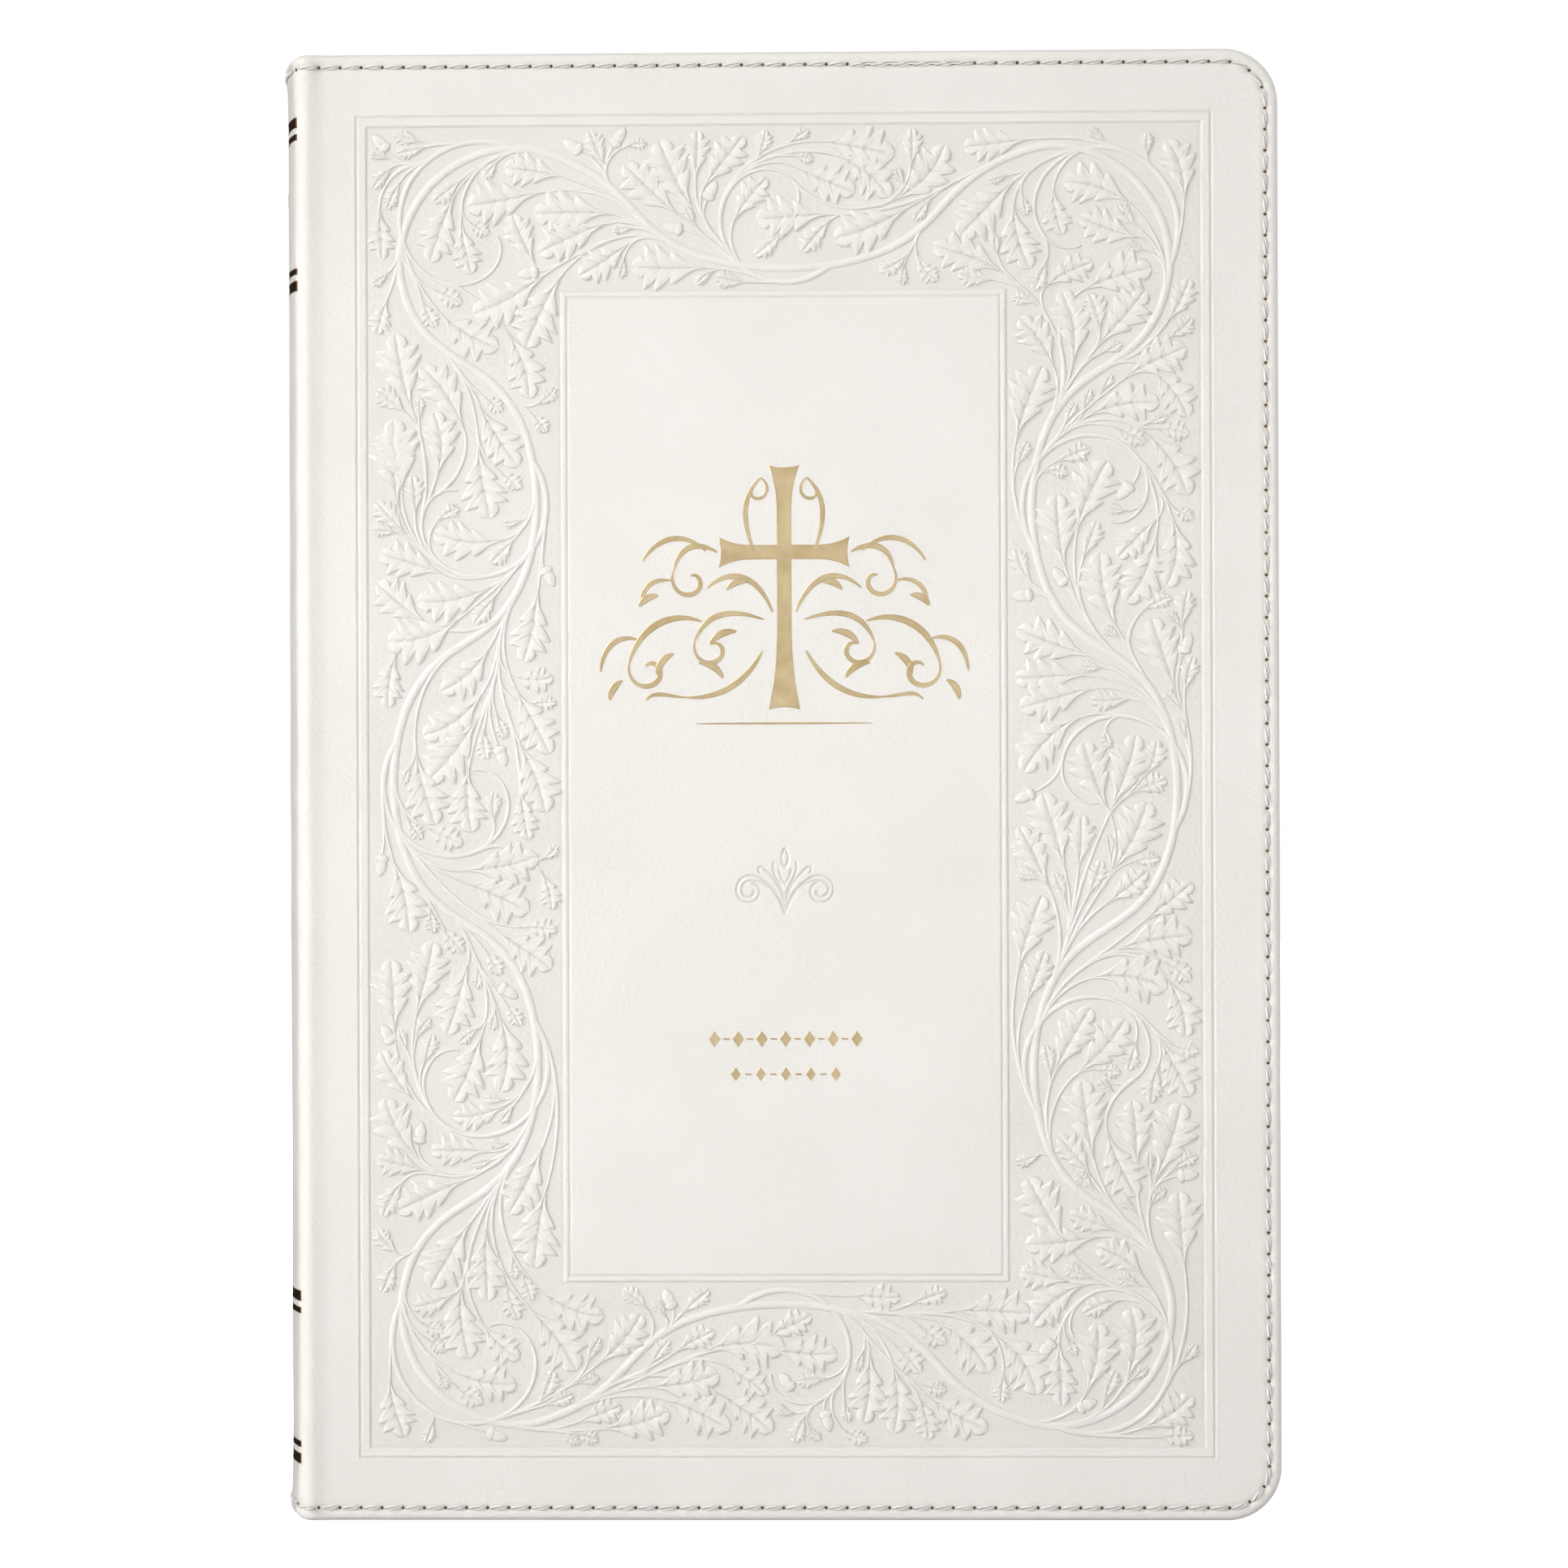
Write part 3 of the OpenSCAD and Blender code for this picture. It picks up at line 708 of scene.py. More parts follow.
def along_cover(s):
    """(u, z) on a cover's stitch line, s from the spine at the tail."""
    if s < RUN:
        return SEAM_U + s, STITCH_INSET + float(dip(SEAM_U + s, STITCH_INSET))
    if s < RUN + CORNER:
        a = (s - RUN) / SEAM_R
        return CORNER_CX + SEAM_R * math.sin(a), CORNER_R - SEAM_R * math.cos(a)
    if s < RUN + CORNER + TALL:
        return RIGHT - STITCH_INSET, CORNER_R + s - RUN - CORNER
    if s < RUN + 2 * CORNER + TALL:
        a = (s - RUN - CORNER - TALL) / SEAM_R
        return CORNER_CX + SEAM_R * math.cos(a), HEIGHT - CORNER_R + SEAM_R * math.sin(a)
    u = CORNER_CX - (s - RUN - 2 * CORNER - TALL)
    return u, HEIGHT - STITCH_INSET - float(dip(u, STITCH_INSET))


def seam_frame(s, side):
    """The surface frame at s along a cover's stitch line."""
    (u, z), (next_u, next_z) = along_cover(s), along_cover(s + 0.02)
    return surface_frame(u, z, side, next_u - u, next_z - z)


BACKSTITCH = (10.0, 28.0)  # where the line starts and ends, sewn over twice along the head


def flip_threads(shape, side):
    """Turns the faces outwards on the back cover, where the surface frame is left-handed."""
    if side > 0:
        shape.faces = [face[::-1] for face in shape.faces]


def cover_stitches(name, side, body, node):
    """A cover's stitches, and those over its hinge, which bend with the leather."""
    threads, holes, hinge = Shape(), Shape(), Shape()
    for i in range(int(PATH_LENGTH / STITCH_PITCH) + 1):
        u, z = along_cover(i * STITCH_PITCH)
        bent = u < HINGE_X + 1.3
        add_hole(hinge if bent else holes, seam_frame(i * STITCH_PITCH, side), 1 if bent else 0)
        middle = (i + 0.5) * STITCH_PITCH
        u, z = along_cover(middle)
        if middle + 0.5 * STITCH_PITCH > PATH_LENGTH:
            continue
        bent = u < HINGE_X + 1.3 + STITCH_PITCH / 2
        doubled = z > HEIGHT / 2 and BACKSTITCH[0] < u < BACKSTITCH[1] and side < 0
        shift = 0.16 if doubled else 0.0
        add_stitch(hinge if bent else threads, seam_frame(middle, side), STITCH_PITCH - 0.5, shift)
        if doubled:
            again = seam_frame(middle - STITCH_PITCH / 2, side)
            add_stitch(threads, again, STITCH_PITCH - 0.4, shift=-0.18, lean=-0.1, lift=0.1)
    for shape in (threads, holes, hinge):
        flip_threads(shape, side)
    threads.make(name, body, "thread", [THREAD], [node])
    holes.make(name.replace("stitches", "needle_holes"), body, "thread", [HOLE_SHADE])
    piece = hinge.make(name.replace("stitches", "hinge_stitches"), None, "thread", [THREAD, HOLE_SHADE])
    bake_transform(piece)


def spine_stitches():
    """The stitches that run on round the spine, at its tail and its head."""
    threads, holes = Shape(), Shape()
    count = int((SEAM_U - FAR_SEAM_U) / STITCH_PITCH)
    pitch = (SEAM_U - FAR_SEAM_U) / count
    for head in (False, True):
        for i in range(count):
            places = []
            for u in (SEAM_U - i * pitch, SEAM_U - (i + 0.5) * pitch):
                inset = STITCH_INSET + float(dip(u, STITCH_INSET))
                places.append(surface_frame(u, HEIGHT - inset if head else inset, -1, 0.02, 0))
            add_hole(holes, places[0])
            add_stitch(threads, places[1], pitch - 0.5)
    threads.make("spine_stitches", "book_block", "thread", [THREAD], ["spine_stitching"])
    holes.make("spine_needle_holes", "book_block", "thread", [HOLE_SHADE])


cover_stitches("front_stitches", -1, "front_cover", "front_stitching")
cover_stitches("back_stitches", 1, "back_cover", "back_stitching")
spine_stitches()


# ---- Embossed oak border ----


def flat_point(x, z, h):
    """A point on the front cover, h above its leather."""
    return wrap(x, z, h + undulation(np.asarray(x, float), np.asarray(z, float)))


class Curve:
    """A smooth line through closely spaced points, measured along its length."""

    def __init__(self, points):
        self.points = np.asarray(points, float)
        ahead = np.gradient(self.points, axis=0)
        self.turn = np.unwrap(np.arctan2(ahead[:, 1], ahead[:, 0]))
        step = np.linalg.norm(np.diff(self.points, axis=0), axis=1)
        self.at = np.concatenate([[0], np.cumsum(step)])
        self.length = self.at[-1]

    def place(self, s):
        return np.stack([np.interp(s, self.at, self.points[:, i]) for i in (0, 1)], -1)

    def heading(self, s):
        return np.interp(s, self.at, self.turn)


def rounded_rectangle(x0, x1, z0, z1, r):
    """Points anticlockwise round a rectangle with rounded corners, from the tail's fore-edge corner."""
    points = []
    corners = ((x1 - r, z0 + r, -45), (x1 - r, z1 - r, 0), (x0 + r, z1 - r, 90), (x0 + r, z0 + r, 180))
    for cx, cz, start in corners:
        for a in np.radians(np.linspace(start, start + (45 if start < 0 else 90), 19)):
            points.append((cx + r * math.cos(a), cz + r * math.sin(a)))
    for a in np.radians(np.linspace(270, 315, 19)):
        points.append((x1 - r + r * math.cos(a), z0 + r + r * math.sin(a)))
    return Curve(points)


class Field:
    """Which places of the border are taken, on a fine grid."""

    cell = 0.3

    def __init__(self):
        self.size = (int((FIELD[1] - FIELD[0]) / self.cell) + 2, int((FIELD[3] - FIELD[2]) / self.cell) + 2)
        self.stems = np.zeros(self.size, bool)
        self.leaves = np.zeros(self.size, bool)
        cells = np.argwhere(~self.stems)
        self.beyond = ~self.within(self.spot(cells), 0.3).reshape(self.size)

    def index(self, points):
        points = np.asarray(points, float).reshape(-1, 2)
        i = ((points[:, 0] - FIELD[0]) / self.cell).astype(int)
        k = ((points[:, 1] - FIELD[2]) / self.cell).astype(int)
        return np.clip(i, 0, self.size[0] - 1), np.clip(k, 0, self.size[1] - 1)

    def within(self, points, margin):
        outer = off_rectangle(points[:, 0], points[:, 1], FIELD, RULE_PAIR + margin)
        panel = off_rectangle(points[:, 0], points[:, 1], PANEL, -margin)
        return (outer < 0) & (panel > 0)

    def inside(self, points, margin):
        return bool(self.within(points, margin).all())

    def free(self, points, of_stems, of_leaves):
        at = self.index(points)
        return not (of_stems and self.stems[at].any() or of_leaves and self.leaves[at].any())

    def open_to(self, samples):
        """Which sets of samples are all inside the field and on free cells."""
        at = self.index(samples)
        taken = (self.stems[at] | self.leaves[at] | self.beyond[at]).reshape(samples.shape[:2])
        return ~taken.any(1)

    def spot(self, cells):
        """The middles of cells."""
        return np.array([FIELD[0], FIELD[2]]) + (cells + 0.5) * self.cell

    def clearings(self, radius):
        """The middles of the cells that have nothing within the radius."""
        taken = self.stems | self.leaves | self.beyond
        near = taken.copy()
        reach = int(radius / self.cell)
        for i in range(-reach, reach + 1):
            for k in range(-reach, reach + 1):
                if 0 < i * i + k * k <= reach * reach:
                    near |= np.roll(taken, (i, k), (0, 1))
        return self.spot(np.argwhere(~near))

    def take(self, grid, points, reach):
        """Marks everything within reach of the points."""
        around = np.arange(-reach, reach + 0.01, self.cell)
        for dx in around:
            for dz in around:
                if dx * dx + dz * dz <= reach * reach:
                    grid[self.index(np.asarray(points).reshape(-1, 2) + (dx, dz))] = True


SWING = 11.2  # how far the main stem swings to each side
LONG_SIDE_BENDS, SHORT_SIDE_BENDS = 4, 2


def main_stem():
    """The stem that swings between the border's edges, outwards at each corner, and where it bends."""
    x0, x1 = (FIELD[0] + RULE_PAIR + PANEL[0]) / 2, (FIELD[1] - RULE_PAIR + PANEL[1]) / 2
    z0, z1 = (FIELD[2] + RULE_PAIR + PANEL[2]) / 2, (FIELD[3] - RULE_PAIR + PANEL[3]) / 2
    middle = rounded_rectangle(x0, x1, z0, z1, 10.0)
    long, short = z1 - z0, x1 - x0
    ends = np.cumsum([0, long, short, long, short]) * middle.length / (2 * (long + short))
    bends = np.cumsum([0, LONG_SIDE_BENDS, SHORT_SIDE_BENDS, LONG_SIDE_BENDS, SHORT_SIDE_BENDS])
    phase = np.linspace(0, bends[-1], 2400) * math.pi
    along = np.interp(phase / math.pi, bends, ends) + 3.4 * np.sin(2 * phase)
    along = along % middle.length
    room = np.where(np.abs(middle.place(along)[:, 0] - (x0 + x1) / 2) < short / 2 - 6, 0.84, 1.0)
    room = np.convolve(np.concatenate([room[-60:], room, room[:60]]), np.ones(121) / 121, "valid")
    turn = middle.heading(along)
    points = middle.place(along) - (SWING * room * np.cos(phase))[:, None] * sideways(turn)
    return points, phase, middle, np.interp(np.arange(bends[-1]), bends, ends)


def scroll_curve(points, phase, bend, way, heart):
    """A branch that leaves the main stem on the inside of a bend and curls round its heart."""
    start = points[np.argmin(np.abs(phase - (bend - 0.10) * math.pi))]
    reach = np.linalg.norm(start - heart)
    first = math.atan2(start[1] - heart[1], start[0] - heart[0])
    t = np.linspace(0, 1, 90)
    turn = first + way * 1.55 * math.pi * t
    radius = reach + (3.4 - reach) * t ** 1.7
    return Curve(heart + radius[:, None] * forwards(turn))


def leaf_frame(base, heading, length, bend, t):
    """Places and headings along a leaf's curved midrib."""
    turn = heading + bend * t
    steps = np.diff(t, prepend=0)[:, None] * length * forwards(turn)
    return base + np.cumsum(steps, 0), turn


LOBE_TIPS = (0.30, 0.49, 0.68)
LEAF_ENVELOPE = ((0, 0.1, 0.30, 0.49, 0.68, 0.86), (0.03, 0.14, 0.66, 1.0, 0.92, 0.44))


def leaf_half_width(t, width):
    """Half width of an oak leaf: narrow at its stalk, with rounded lobes, close sinuses and a blunt tip."""
    lobes = 0.28 + 0.72 * np.abs(np.cos(math.pi * (t - 0.30) / 0.19)) ** 0.5
    lobes = np.where(t < 0.205, 0.55, np.where(t > 0.86, 1, lobes))
    tip = np.sqrt(np.clip(1 - ((t - 0.86) / 0.14) ** 2, 0, 1))
    return width / 2 * np.interp(t, *LEAF_ENVELOPE) * lobes * np.where(t > 0.86, tip, 1)


def leaf_samples(base, heading, size, bend, slim):
    """Places spread over each of several possible leaves, for finding one a free place."""
    t = np.linspace(0, 1, 14)
    side = np.array([-1, -0.66, -0.33, 0, 0.33, 0.66, 1])
    turn = heading[:, None] + bend[:, None] * t
    steps = (np.diff(t, prepend=0) * size[:, None])[..., None] * forwards(turn)
    spine = base[:, None] + np.cumsum(steps, 1)
    reach = ((0.42 * slim * size)[:, None] * np.interp(t, *LEAF_ENVELOPE))[..., None] * side
    places = spine[:, :, None] + reach[..., None] * sideways(turn)[:, :, None]
    places = places + 0.5 * np.abs(reach)[..., None] * forwards(turn)[:, :, None]
    return places[:, 1:].reshape(len(base), -1, 2)


def add_oak_leaf(shape, base, heading, length, bend, slim):
    """A lobed leaf in relief, its edge sunk in the field, with an incised midrib and a vein to each lobe."""
    t = np.linspace(0, 1, 51)
    s = np.array([-1, -0.9, -0.66, -0.36, -0.10, 0, 0.10, 0.36, 0.66, 0.9, 1])
    spine, turn = leaf_frame(base, heading, length, bend, t)
    half = leaf_half_width(t, slim * length)
    reach = half[:, None] * s[None]
    forward = 0.62 * np.abs(reach) * (1 - t ** 4)[:, None]
    place = spine[:, None] + reach[..., None] * sideways(turn)[:, None]
    place = place + forward[..., None] * forwards(turn)[:, None]
    side = np.abs(s)[None]
    dome = np.interp(side, [0, 0.10, 0.36, 0.66, 0.9, 1], [0.10, 0.23, 0.28, 0.30, 0.22, -0.06])
    vein = np.zeros((len(t), len(s)))
    for tip in LOBE_TIPS:
        line = t[:, None] - (tip - 0.07 * (1 - side))
        vein = np.maximum(vein, groove(line, 0.016) * smooth(0.92 - side, 0, 0.3))
    lift = np.interp(t, [0, 0.06, 0.9, 1], [0.6, 1, 1, 0.5])[:, None]
    h = dome * lift - 0.12 * vein
    # painted shade in the veins, along the incised midrib and round the sunk edge, fainter on small leaves
    tone = np.clip(0.34 * vein + 0.66 * (side < 0.05) * (t < 0.9)[:, None] + 0.50 * (side > 0.95), 0, 1)
    tone = tone * min(1, (length / 9) ** 1.5)
    ids = shape.add(flat_point(place[..., 0], place[..., 1], h - FIELD_DEPTH), tone)
    shape.grid(ids[:, ::-1])


def add_stem(shape, curve, wide, narrow):
    """A half-round stem in relief, tapering along its length."""
    count = max(int(curve.length / 0.5), 6)
    s = np.linspace(0, curve.length, count)
    half = np.linspace(wide, narrow, count) / 2
    side = np.array([-1, -0.72, 0, 0.72, 1])
    reach = half[:, None] * side
    place = curve.place(s)[:, None] + reach[..., None] * sideways(curve.heading(s))[:, None]
    h = np.array([-0.06, 0.14, 0.21, 0.14, -0.06])[None] - FIELD_DEPTH + 0 * half[:, None]
    # painted shade along both sides of the stem
    tone = np.array([0.42, 0.0, 0, 0.0, 0.42])[None] + 0 * half[:, None]
    ids = shape.add(flat_point(place[..., 0], place[..., 1], h), tone)
    shape.grid(ids[:, ::-1])


def add_dome(shape, middle, heading, half_long, half_wide, height, knobs=0.0, point=0.0):
    """A raised oval, knobbly for an acorn's cup or pointed for its nut."""
    rings = np.array([1.0, 0.94, 0.8, 0.6, 0.35, 0.08])
    a = np.linspace(0, 2 * math.pi, 25)[:-1]
    long = half_long * rings[None] * np.cos(a)[:, None]
    long = long + point * half_long * rings[None] ** 3 * np.maximum(np.cos(a), 0)[:, None] ** 8
    wide = half_wide * rings[None] * np.sin(a)[:, None]
    place = np.asarray(middle) + long[..., None] * forwards(heading) + wide[..., None] * sideways(heading)
    profile = np.array([1, 0.95, 0.82, 0.6, 0.3, -0.15]) * height
    h = np.interp(rings, [0, 0.35, 0.6, 0.8, 0.94, 1], profile)[None]
    h = h + knobs * np.sin(a * 6)[:, None] * np.sin(rings * 9)[None]
    # painted shade round the dome's sunk rim
    tone = 0.42 * (rings > 0.9)[None] + 0 * h
    ids = shape.add(flat_point(place[..., 0], place[..., 1], h - FIELD_DEPTH), tone)
    shape.grid(np.concatenate([ids, ids[:1]], 0)[:, ::-1], flip=True)
    shape.face_list([ids[:, -1].tolist()])


def add_acorn(shape, base, heading):
    """An acorn lying in its cup."""
    way = forwards(heading)
    add_dome(shape, base + 1.9 * way, heading, 1.45, 0.95, 0.28, point=0.22)
    add_dome(shape, base + 0.8 * way, heading, 0.75, 1.12, 0.34, knobs=0.03)


def border_piece(place):
    """Which of the border's four pieces a place belongs to."""
    if place[1] > PANEL[3]:
        return "oak_border_head"
    if place[1] < PANEL[2]:
        return "oak_border_tail"
    return "oak_border_spine_side" if place[0] < PANEL_CX else "oak_border_fore_side"


def grow_stalk(start, turn, end, last):
    """A stalk from a stem, tangent to it at first, to the base of a leaf with the heading last."""
    gap = np.linalg.norm(end - start)
    controls = (start, start + 0.42 * gap * forwards(turn), end - 0.30 * gap * forwards(last), end)
    return bezier(*controls, max(int(gap / 0.4), 5))


# (what grows, tries, length, shortest and longest reach of its stalk)
GROWTH = (
    ("leaf", 1500, 12.0, 7.0, 24.0),
    ("leaf", 1500, 10.8, 5.0, 22.0),
    ("leaf", 1500, 9.6, 4.0, 18.0),
    ("acorn", 60, 3.6, 3.0, 9.0),
    ("leaf", 1500, 8.4, 3.0, 14.0),
    ("leaf", 1500, 7.2, 2.0, 12.0),
    ("acorn", 150, 3.6, 2.0, 7.0),
    ("leaf", 1800, 6.0, 1.0, 10.0),
    ("leaf", 1800, 5.0, 0.8, 8.0),
    ("leaf", 1800, 4.2, 0.6, 6.0),
    ("leaf", 1500, 3.4, 0.6, 5.0),
)


def oak_border():
    """Grows the border: stems first, then leaves and acorns wherever there is room, the largest first."""
    rng = np.random.default_rng(SEED)
    shapes = {name: Shape() for name in
              ("oak_border_head", "oak_border_tail", "oak_border_spine_side", "oak_border_fore_side")}
    field = Field()
    points, phase, middle, bends = main_stem()
    ring = Curve(points)
    field.take(field.stems, ring.points, 0.6)
    add_stem(shapes["oak_border_head"], ring, 1.45, 1.45)
    parents = [ring]
    for k, bend_at in enumerate(bends):
        way = 1 if k % 2 == 0 else -1
        heart = middle.place(bend_at + 1.0) - way * 0.4 * sideways(middle.heading(bend_at))
        scroll = scroll_curve(points, phase, k if k else bends.size, way, heart)
        field.take(field.stems, scroll.points, 0.5)
        add_stem(shapes[border_piece(heart)], scroll, 1.2, 0.5)
        parents.append(scroll)
    starts = np.concatenate([parent.points[::3] for parent in parents])
    turns = np.concatenate([parent.turn[::3] for parent in parents])
    for kind, tries, length, least, most in GROWTH:
        spots = field.clearings(0.20 * length)
        for spot in spots[rng.choice(len(spots), min(tries, len(spots)), replace=False)]:
            if not field.free(spot, True, True):
                continue
            to_spot = spot - starts
            gap = np.hypot(to_spot[:, 0], to_spot[:, 1]) - length / 2
            ahead = np.arctan2(to_spot[:, 1], to_spot[:, 0])
            lean = (ahead - turns + math.pi) % (2 * math.pi) - math.pi
            able = np.flatnonzero((gap > least) & (gap < most) & (np.abs(lean) < 1.0))
            if not able.size:
                continue
            picks = rng.permutation(able)[:12]
            turn = ahead[picks] + 0.55 * lean[picks]
            size, slim = length * rng.uniform(0.93, 1.05, picks.size), rng.uniform(0.58, 0.70, picks.size)
            bend = np.sign(lean[picks]) * rng.uniform(-0.3, 0.8, picks.size)
            base = spot - 0.5 * size[:, None] * forwards(turn)
            samples = leaf_samples(base, turn, size, bend, slim if kind == "leaf" else 0 * slim + 0.9)
            for i in np.flatnonzero(field.open_to(samples)):
                stalk = grow_stalk(starts[picks[i]], turns[picks[i]], base[i], turn[i])
                late = stalk[int(len(stalk) * 0.35) + 1:]
                if not field.inside(stalk, 0.3) or not field.free(stalk, False, True):
                    continue
                if not field.free(late, True, False):
                    continue
                shape = shapes[border_piece(base[i])]
                if kind == "leaf":
                    add_oak_leaf(shape, base[i], turn[i], size[i], bend[i], slim[i])
                else:
                    add_acorn(shape, base[i], turn[i])
                curve = Curve(stalk)
                add_stem(shape, curve, 0.9 if curve.length > 7 else 0.65, 0.4)
                field.take(field.leaves, samples[i], 0.22)
                field.take(field.stems, stalk, 0.2)
                if curve.length > 3:
                    starts = np.concatenate([starts, curve.points[: -3: 2]])
                    turns = np.concatenate([turns, curve.turn[: -3: 2]])
                break
    for name, shape in shapes.items():
        shape.make(name, "front_cover", "case_leather", [LEATHER])


oak_border()


# ---- Gold foil ----

FOIL_LIFT = 0.07


def add_foil_stroke(shape, points, half, to_surface):
    """A stamped stroke: a bright rim with the gold lying lower between its sides."""
    points = np.asarray(points, float)
    half = np.broadcast_to(np.asarray(half, float), len(points))
    ahead = np.gradient(points, axis=0)
    ahead /= np.linalg.norm(ahead, axis=1)[:, None]
    across = np.stack([-ahead[:, 1], ahead[:, 0]], -1)
    side = np.array([-1, -0.86, -0.55, 0, 0.55, 0.86, 1])
    lift = np.array([-0.06, FOIL_LIFT, 0.03, 0.02, 0.03, FOIL_LIFT, -0.06])
    place = points[:, None] + (half[:, None] * side[None])[..., None] * across[:, None]
    ids = shape.add(to_surface(place[..., 0], place[..., 1], lift[None] + 0 * half[:, None]))
    shape.grid(ids[:, ::-1])


def add_foil_plate(shape, outline, to_surface, inset=0.16):
    """A stamped plate with a closed anticlockwise outline, its rim bright like a stroke's."""
    outline = np.asarray(outline, float)
    before, after = np.roll(outline, 1, 0), np.roll(outline, -1, 0)
    a = (outline - before) / np.linalg.norm(outline - before, axis=1)[:, None]
    b = (after - outline) / np.linalg.norm(after - outline, axis=1)[:, None]
    inward = np.stack([-(a + b)[:, 1], (a + b)[:, 0]], -1)
    inward /= np.maximum((np.linalg.norm(inward, axis=1) ** 2 / 2)[:, None], 0.35)
    rings = [shape.add(to_surface(*(outline + inward * gap).T, lift)) for gap, lift in
             ((0, -0.06), (0.06, FOIL_LIFT), (inset, 0.03), (inset * 1.6, 0.02))]
    ids = np.stack(rings, 1)
    shape.grid(np.concatenate([ids, ids[:1]], 0)[:, ::-1], flip=True)
    shape.face_list([ids[:, -1].tolist()])


def cross_outline(cx, base, height, beam_z, arm, stem, flare, steps=7):
    """A Latin cross whose arms open out in a curve to hollow ends."""
    half = stem / 2
    t = np.linspace(0, 1, steps)
    fall = np.linspace(1, 0, 4)[1:]
    outline = []
    for turn, reach in enumerate((base + height - beam_z, arm / 2, beam_z - base, arm / 2)):
        out = half + flare * np.maximum(0, (t - 0.45) / 0.55) ** 2.2
        side = np.stack([out, half + (reach - half) * t], -1)
        end = np.stack([(half + flare) * fall, reach - 0.35 * half * (1 - fall**2)], -1)
        right = np.concatenate([side, end])
        whole = np.concatenate([right, right[::-1][1:] * (-1, 1)])
        for _ in range(turn):
            whole = np.stack([-whole[:, 1], whole[:, 0]], -1)
        outline.append(whole)
    outline = np.concatenate(outline)
    keep = np.linalg.norm(outline - np.roll(outline, 1, 0), axis=1) > 1e-4
    return outline[keep] + (cx, beam_z)


def taper(count, wide, narrow=0.12):
    """Half widths of a pen-like stroke that swells in its middle."""
    return narrow + (wide - narrow) * np.sin(np.linspace(0, math.pi, count)) ** 0.8


def scroll_stroke(start, heart, turns, final, way):
    """A spiral from start round heart, ending at radius final."""
    start, heart = np.asarray(start, float), np.asarray(heart, float)
    reach = np.linalg.norm(start - heart)
    first = math.atan2(start[1] - heart[1], start[0] - heart[0])
    t = np.linspace(0, 1, 56)
    a = first + way * 2 * math.pi * turns * t
    r = reach * (1 - t) ** 0.9 + final * t
    return heart + r[:, None] * forwards(a)


# (x, z, heading, length) of the leaflets on the scrolls
LEAFLETS = (
    (5.4, 146.4, -0.35, 3.8), (19.6, 144.2, -0.5, 3.4), (7.4, 138.6, -0.45, 4.6),
    (17.2, 135.2, -0.9, 4.2), (9.6, 131.4, 0.55, 4.4), (25.2, 131.0, -1.0, 3.6),
)


def foil_ornament():
    """Strokes of the scrollwork to the right of the cross, as (points, half widths)."""
    strokes = [
        (bezier((10.4, 151.0), (13.2, 152.8), (16.4, 152.2), (17.0, 148.5)), 0.62),
        (bezier((1.8, 141.6), (3.8, 147.2), (8.2, 149.0), (12.0, 145.4)), 0.60),
        (scroll_stroke((17.0, 148.5), (14.6, 146.6), 0.85, 0.7, -1), 0.50),
        (bezier((12.2, 151.2), (15.5, 154.5), (20.0, 153.5), (22.0, 149.6)), 0.55),
        (bezier((17.6, 146.6), (20.5, 147.2), (22.4, 145.4), (22.2, 142.6)), 0.50),
        (bezier((3.2, 140.5), (9.0, 142.6), (12.5, 141.2), (14.0, 137.0)), 0.60),
        (scroll_stroke((14.0, 137.0), (11.2, 136.0), 0.8, 0.65, -1), 0.48),
        (bezier((12.8, 140.2), (18.0, 142.2), (23.0, 139.0), (24.2, 133.6)), 0.72),
        (scroll_stroke((24.2, 133.6), (21.2, 132.6), 0.9, 0.7, -1), 0.55),
        (bezier((22.8, 137.4), (26.0, 138.4), (28.4, 136.4), (28.6, 132.4)), 0.58),
        (bezier((3.4, 135.6), (5.8, 131.0), (9.6, 128.0), (15.4, 128.4)), 0.62),
        (bezier((15.4, 128.4), (18.6, 128.6), (20.2, 129.6), (21.6, 128.0)), 0.42),
        (bezier((4.6, 151.0), (6.8, 156.4), (6.4, 160.0), (3.6, 162.6)), 0.52),
        (scroll_stroke((3.6, 162.6), (4.4, 160.6), 0.7, 0.5, 1), 0.34),
    ]
    for x, z, heading, length in LEAFLETS:
        base, way, side = np.array([x, z]), forwards(heading), sideways(heading)
        first, second = (base + length * (part * way + 0.22 * side) for part in (0.3, 0.7))
        strokes.append((bezier(base, first, second, base + length * way), 0.75))
    return strokes


def lozenge(cx, z, wide, tall):
    """The outline of a lozenge round its middle."""
    return np.array([(cx + wide / 2, z), (cx, z + tall / 2), (cx - wide / 2, z), (cx, z - tall / 2)])


def subdivided(outline, parts=3):
    """A closed outline with extra points on each side."""
    after = np.roll(outline, -1, 0)
    return np.concatenate([[a + (b - a) * k / parts for k in range(parts)] for a, b in zip(outline, after)])


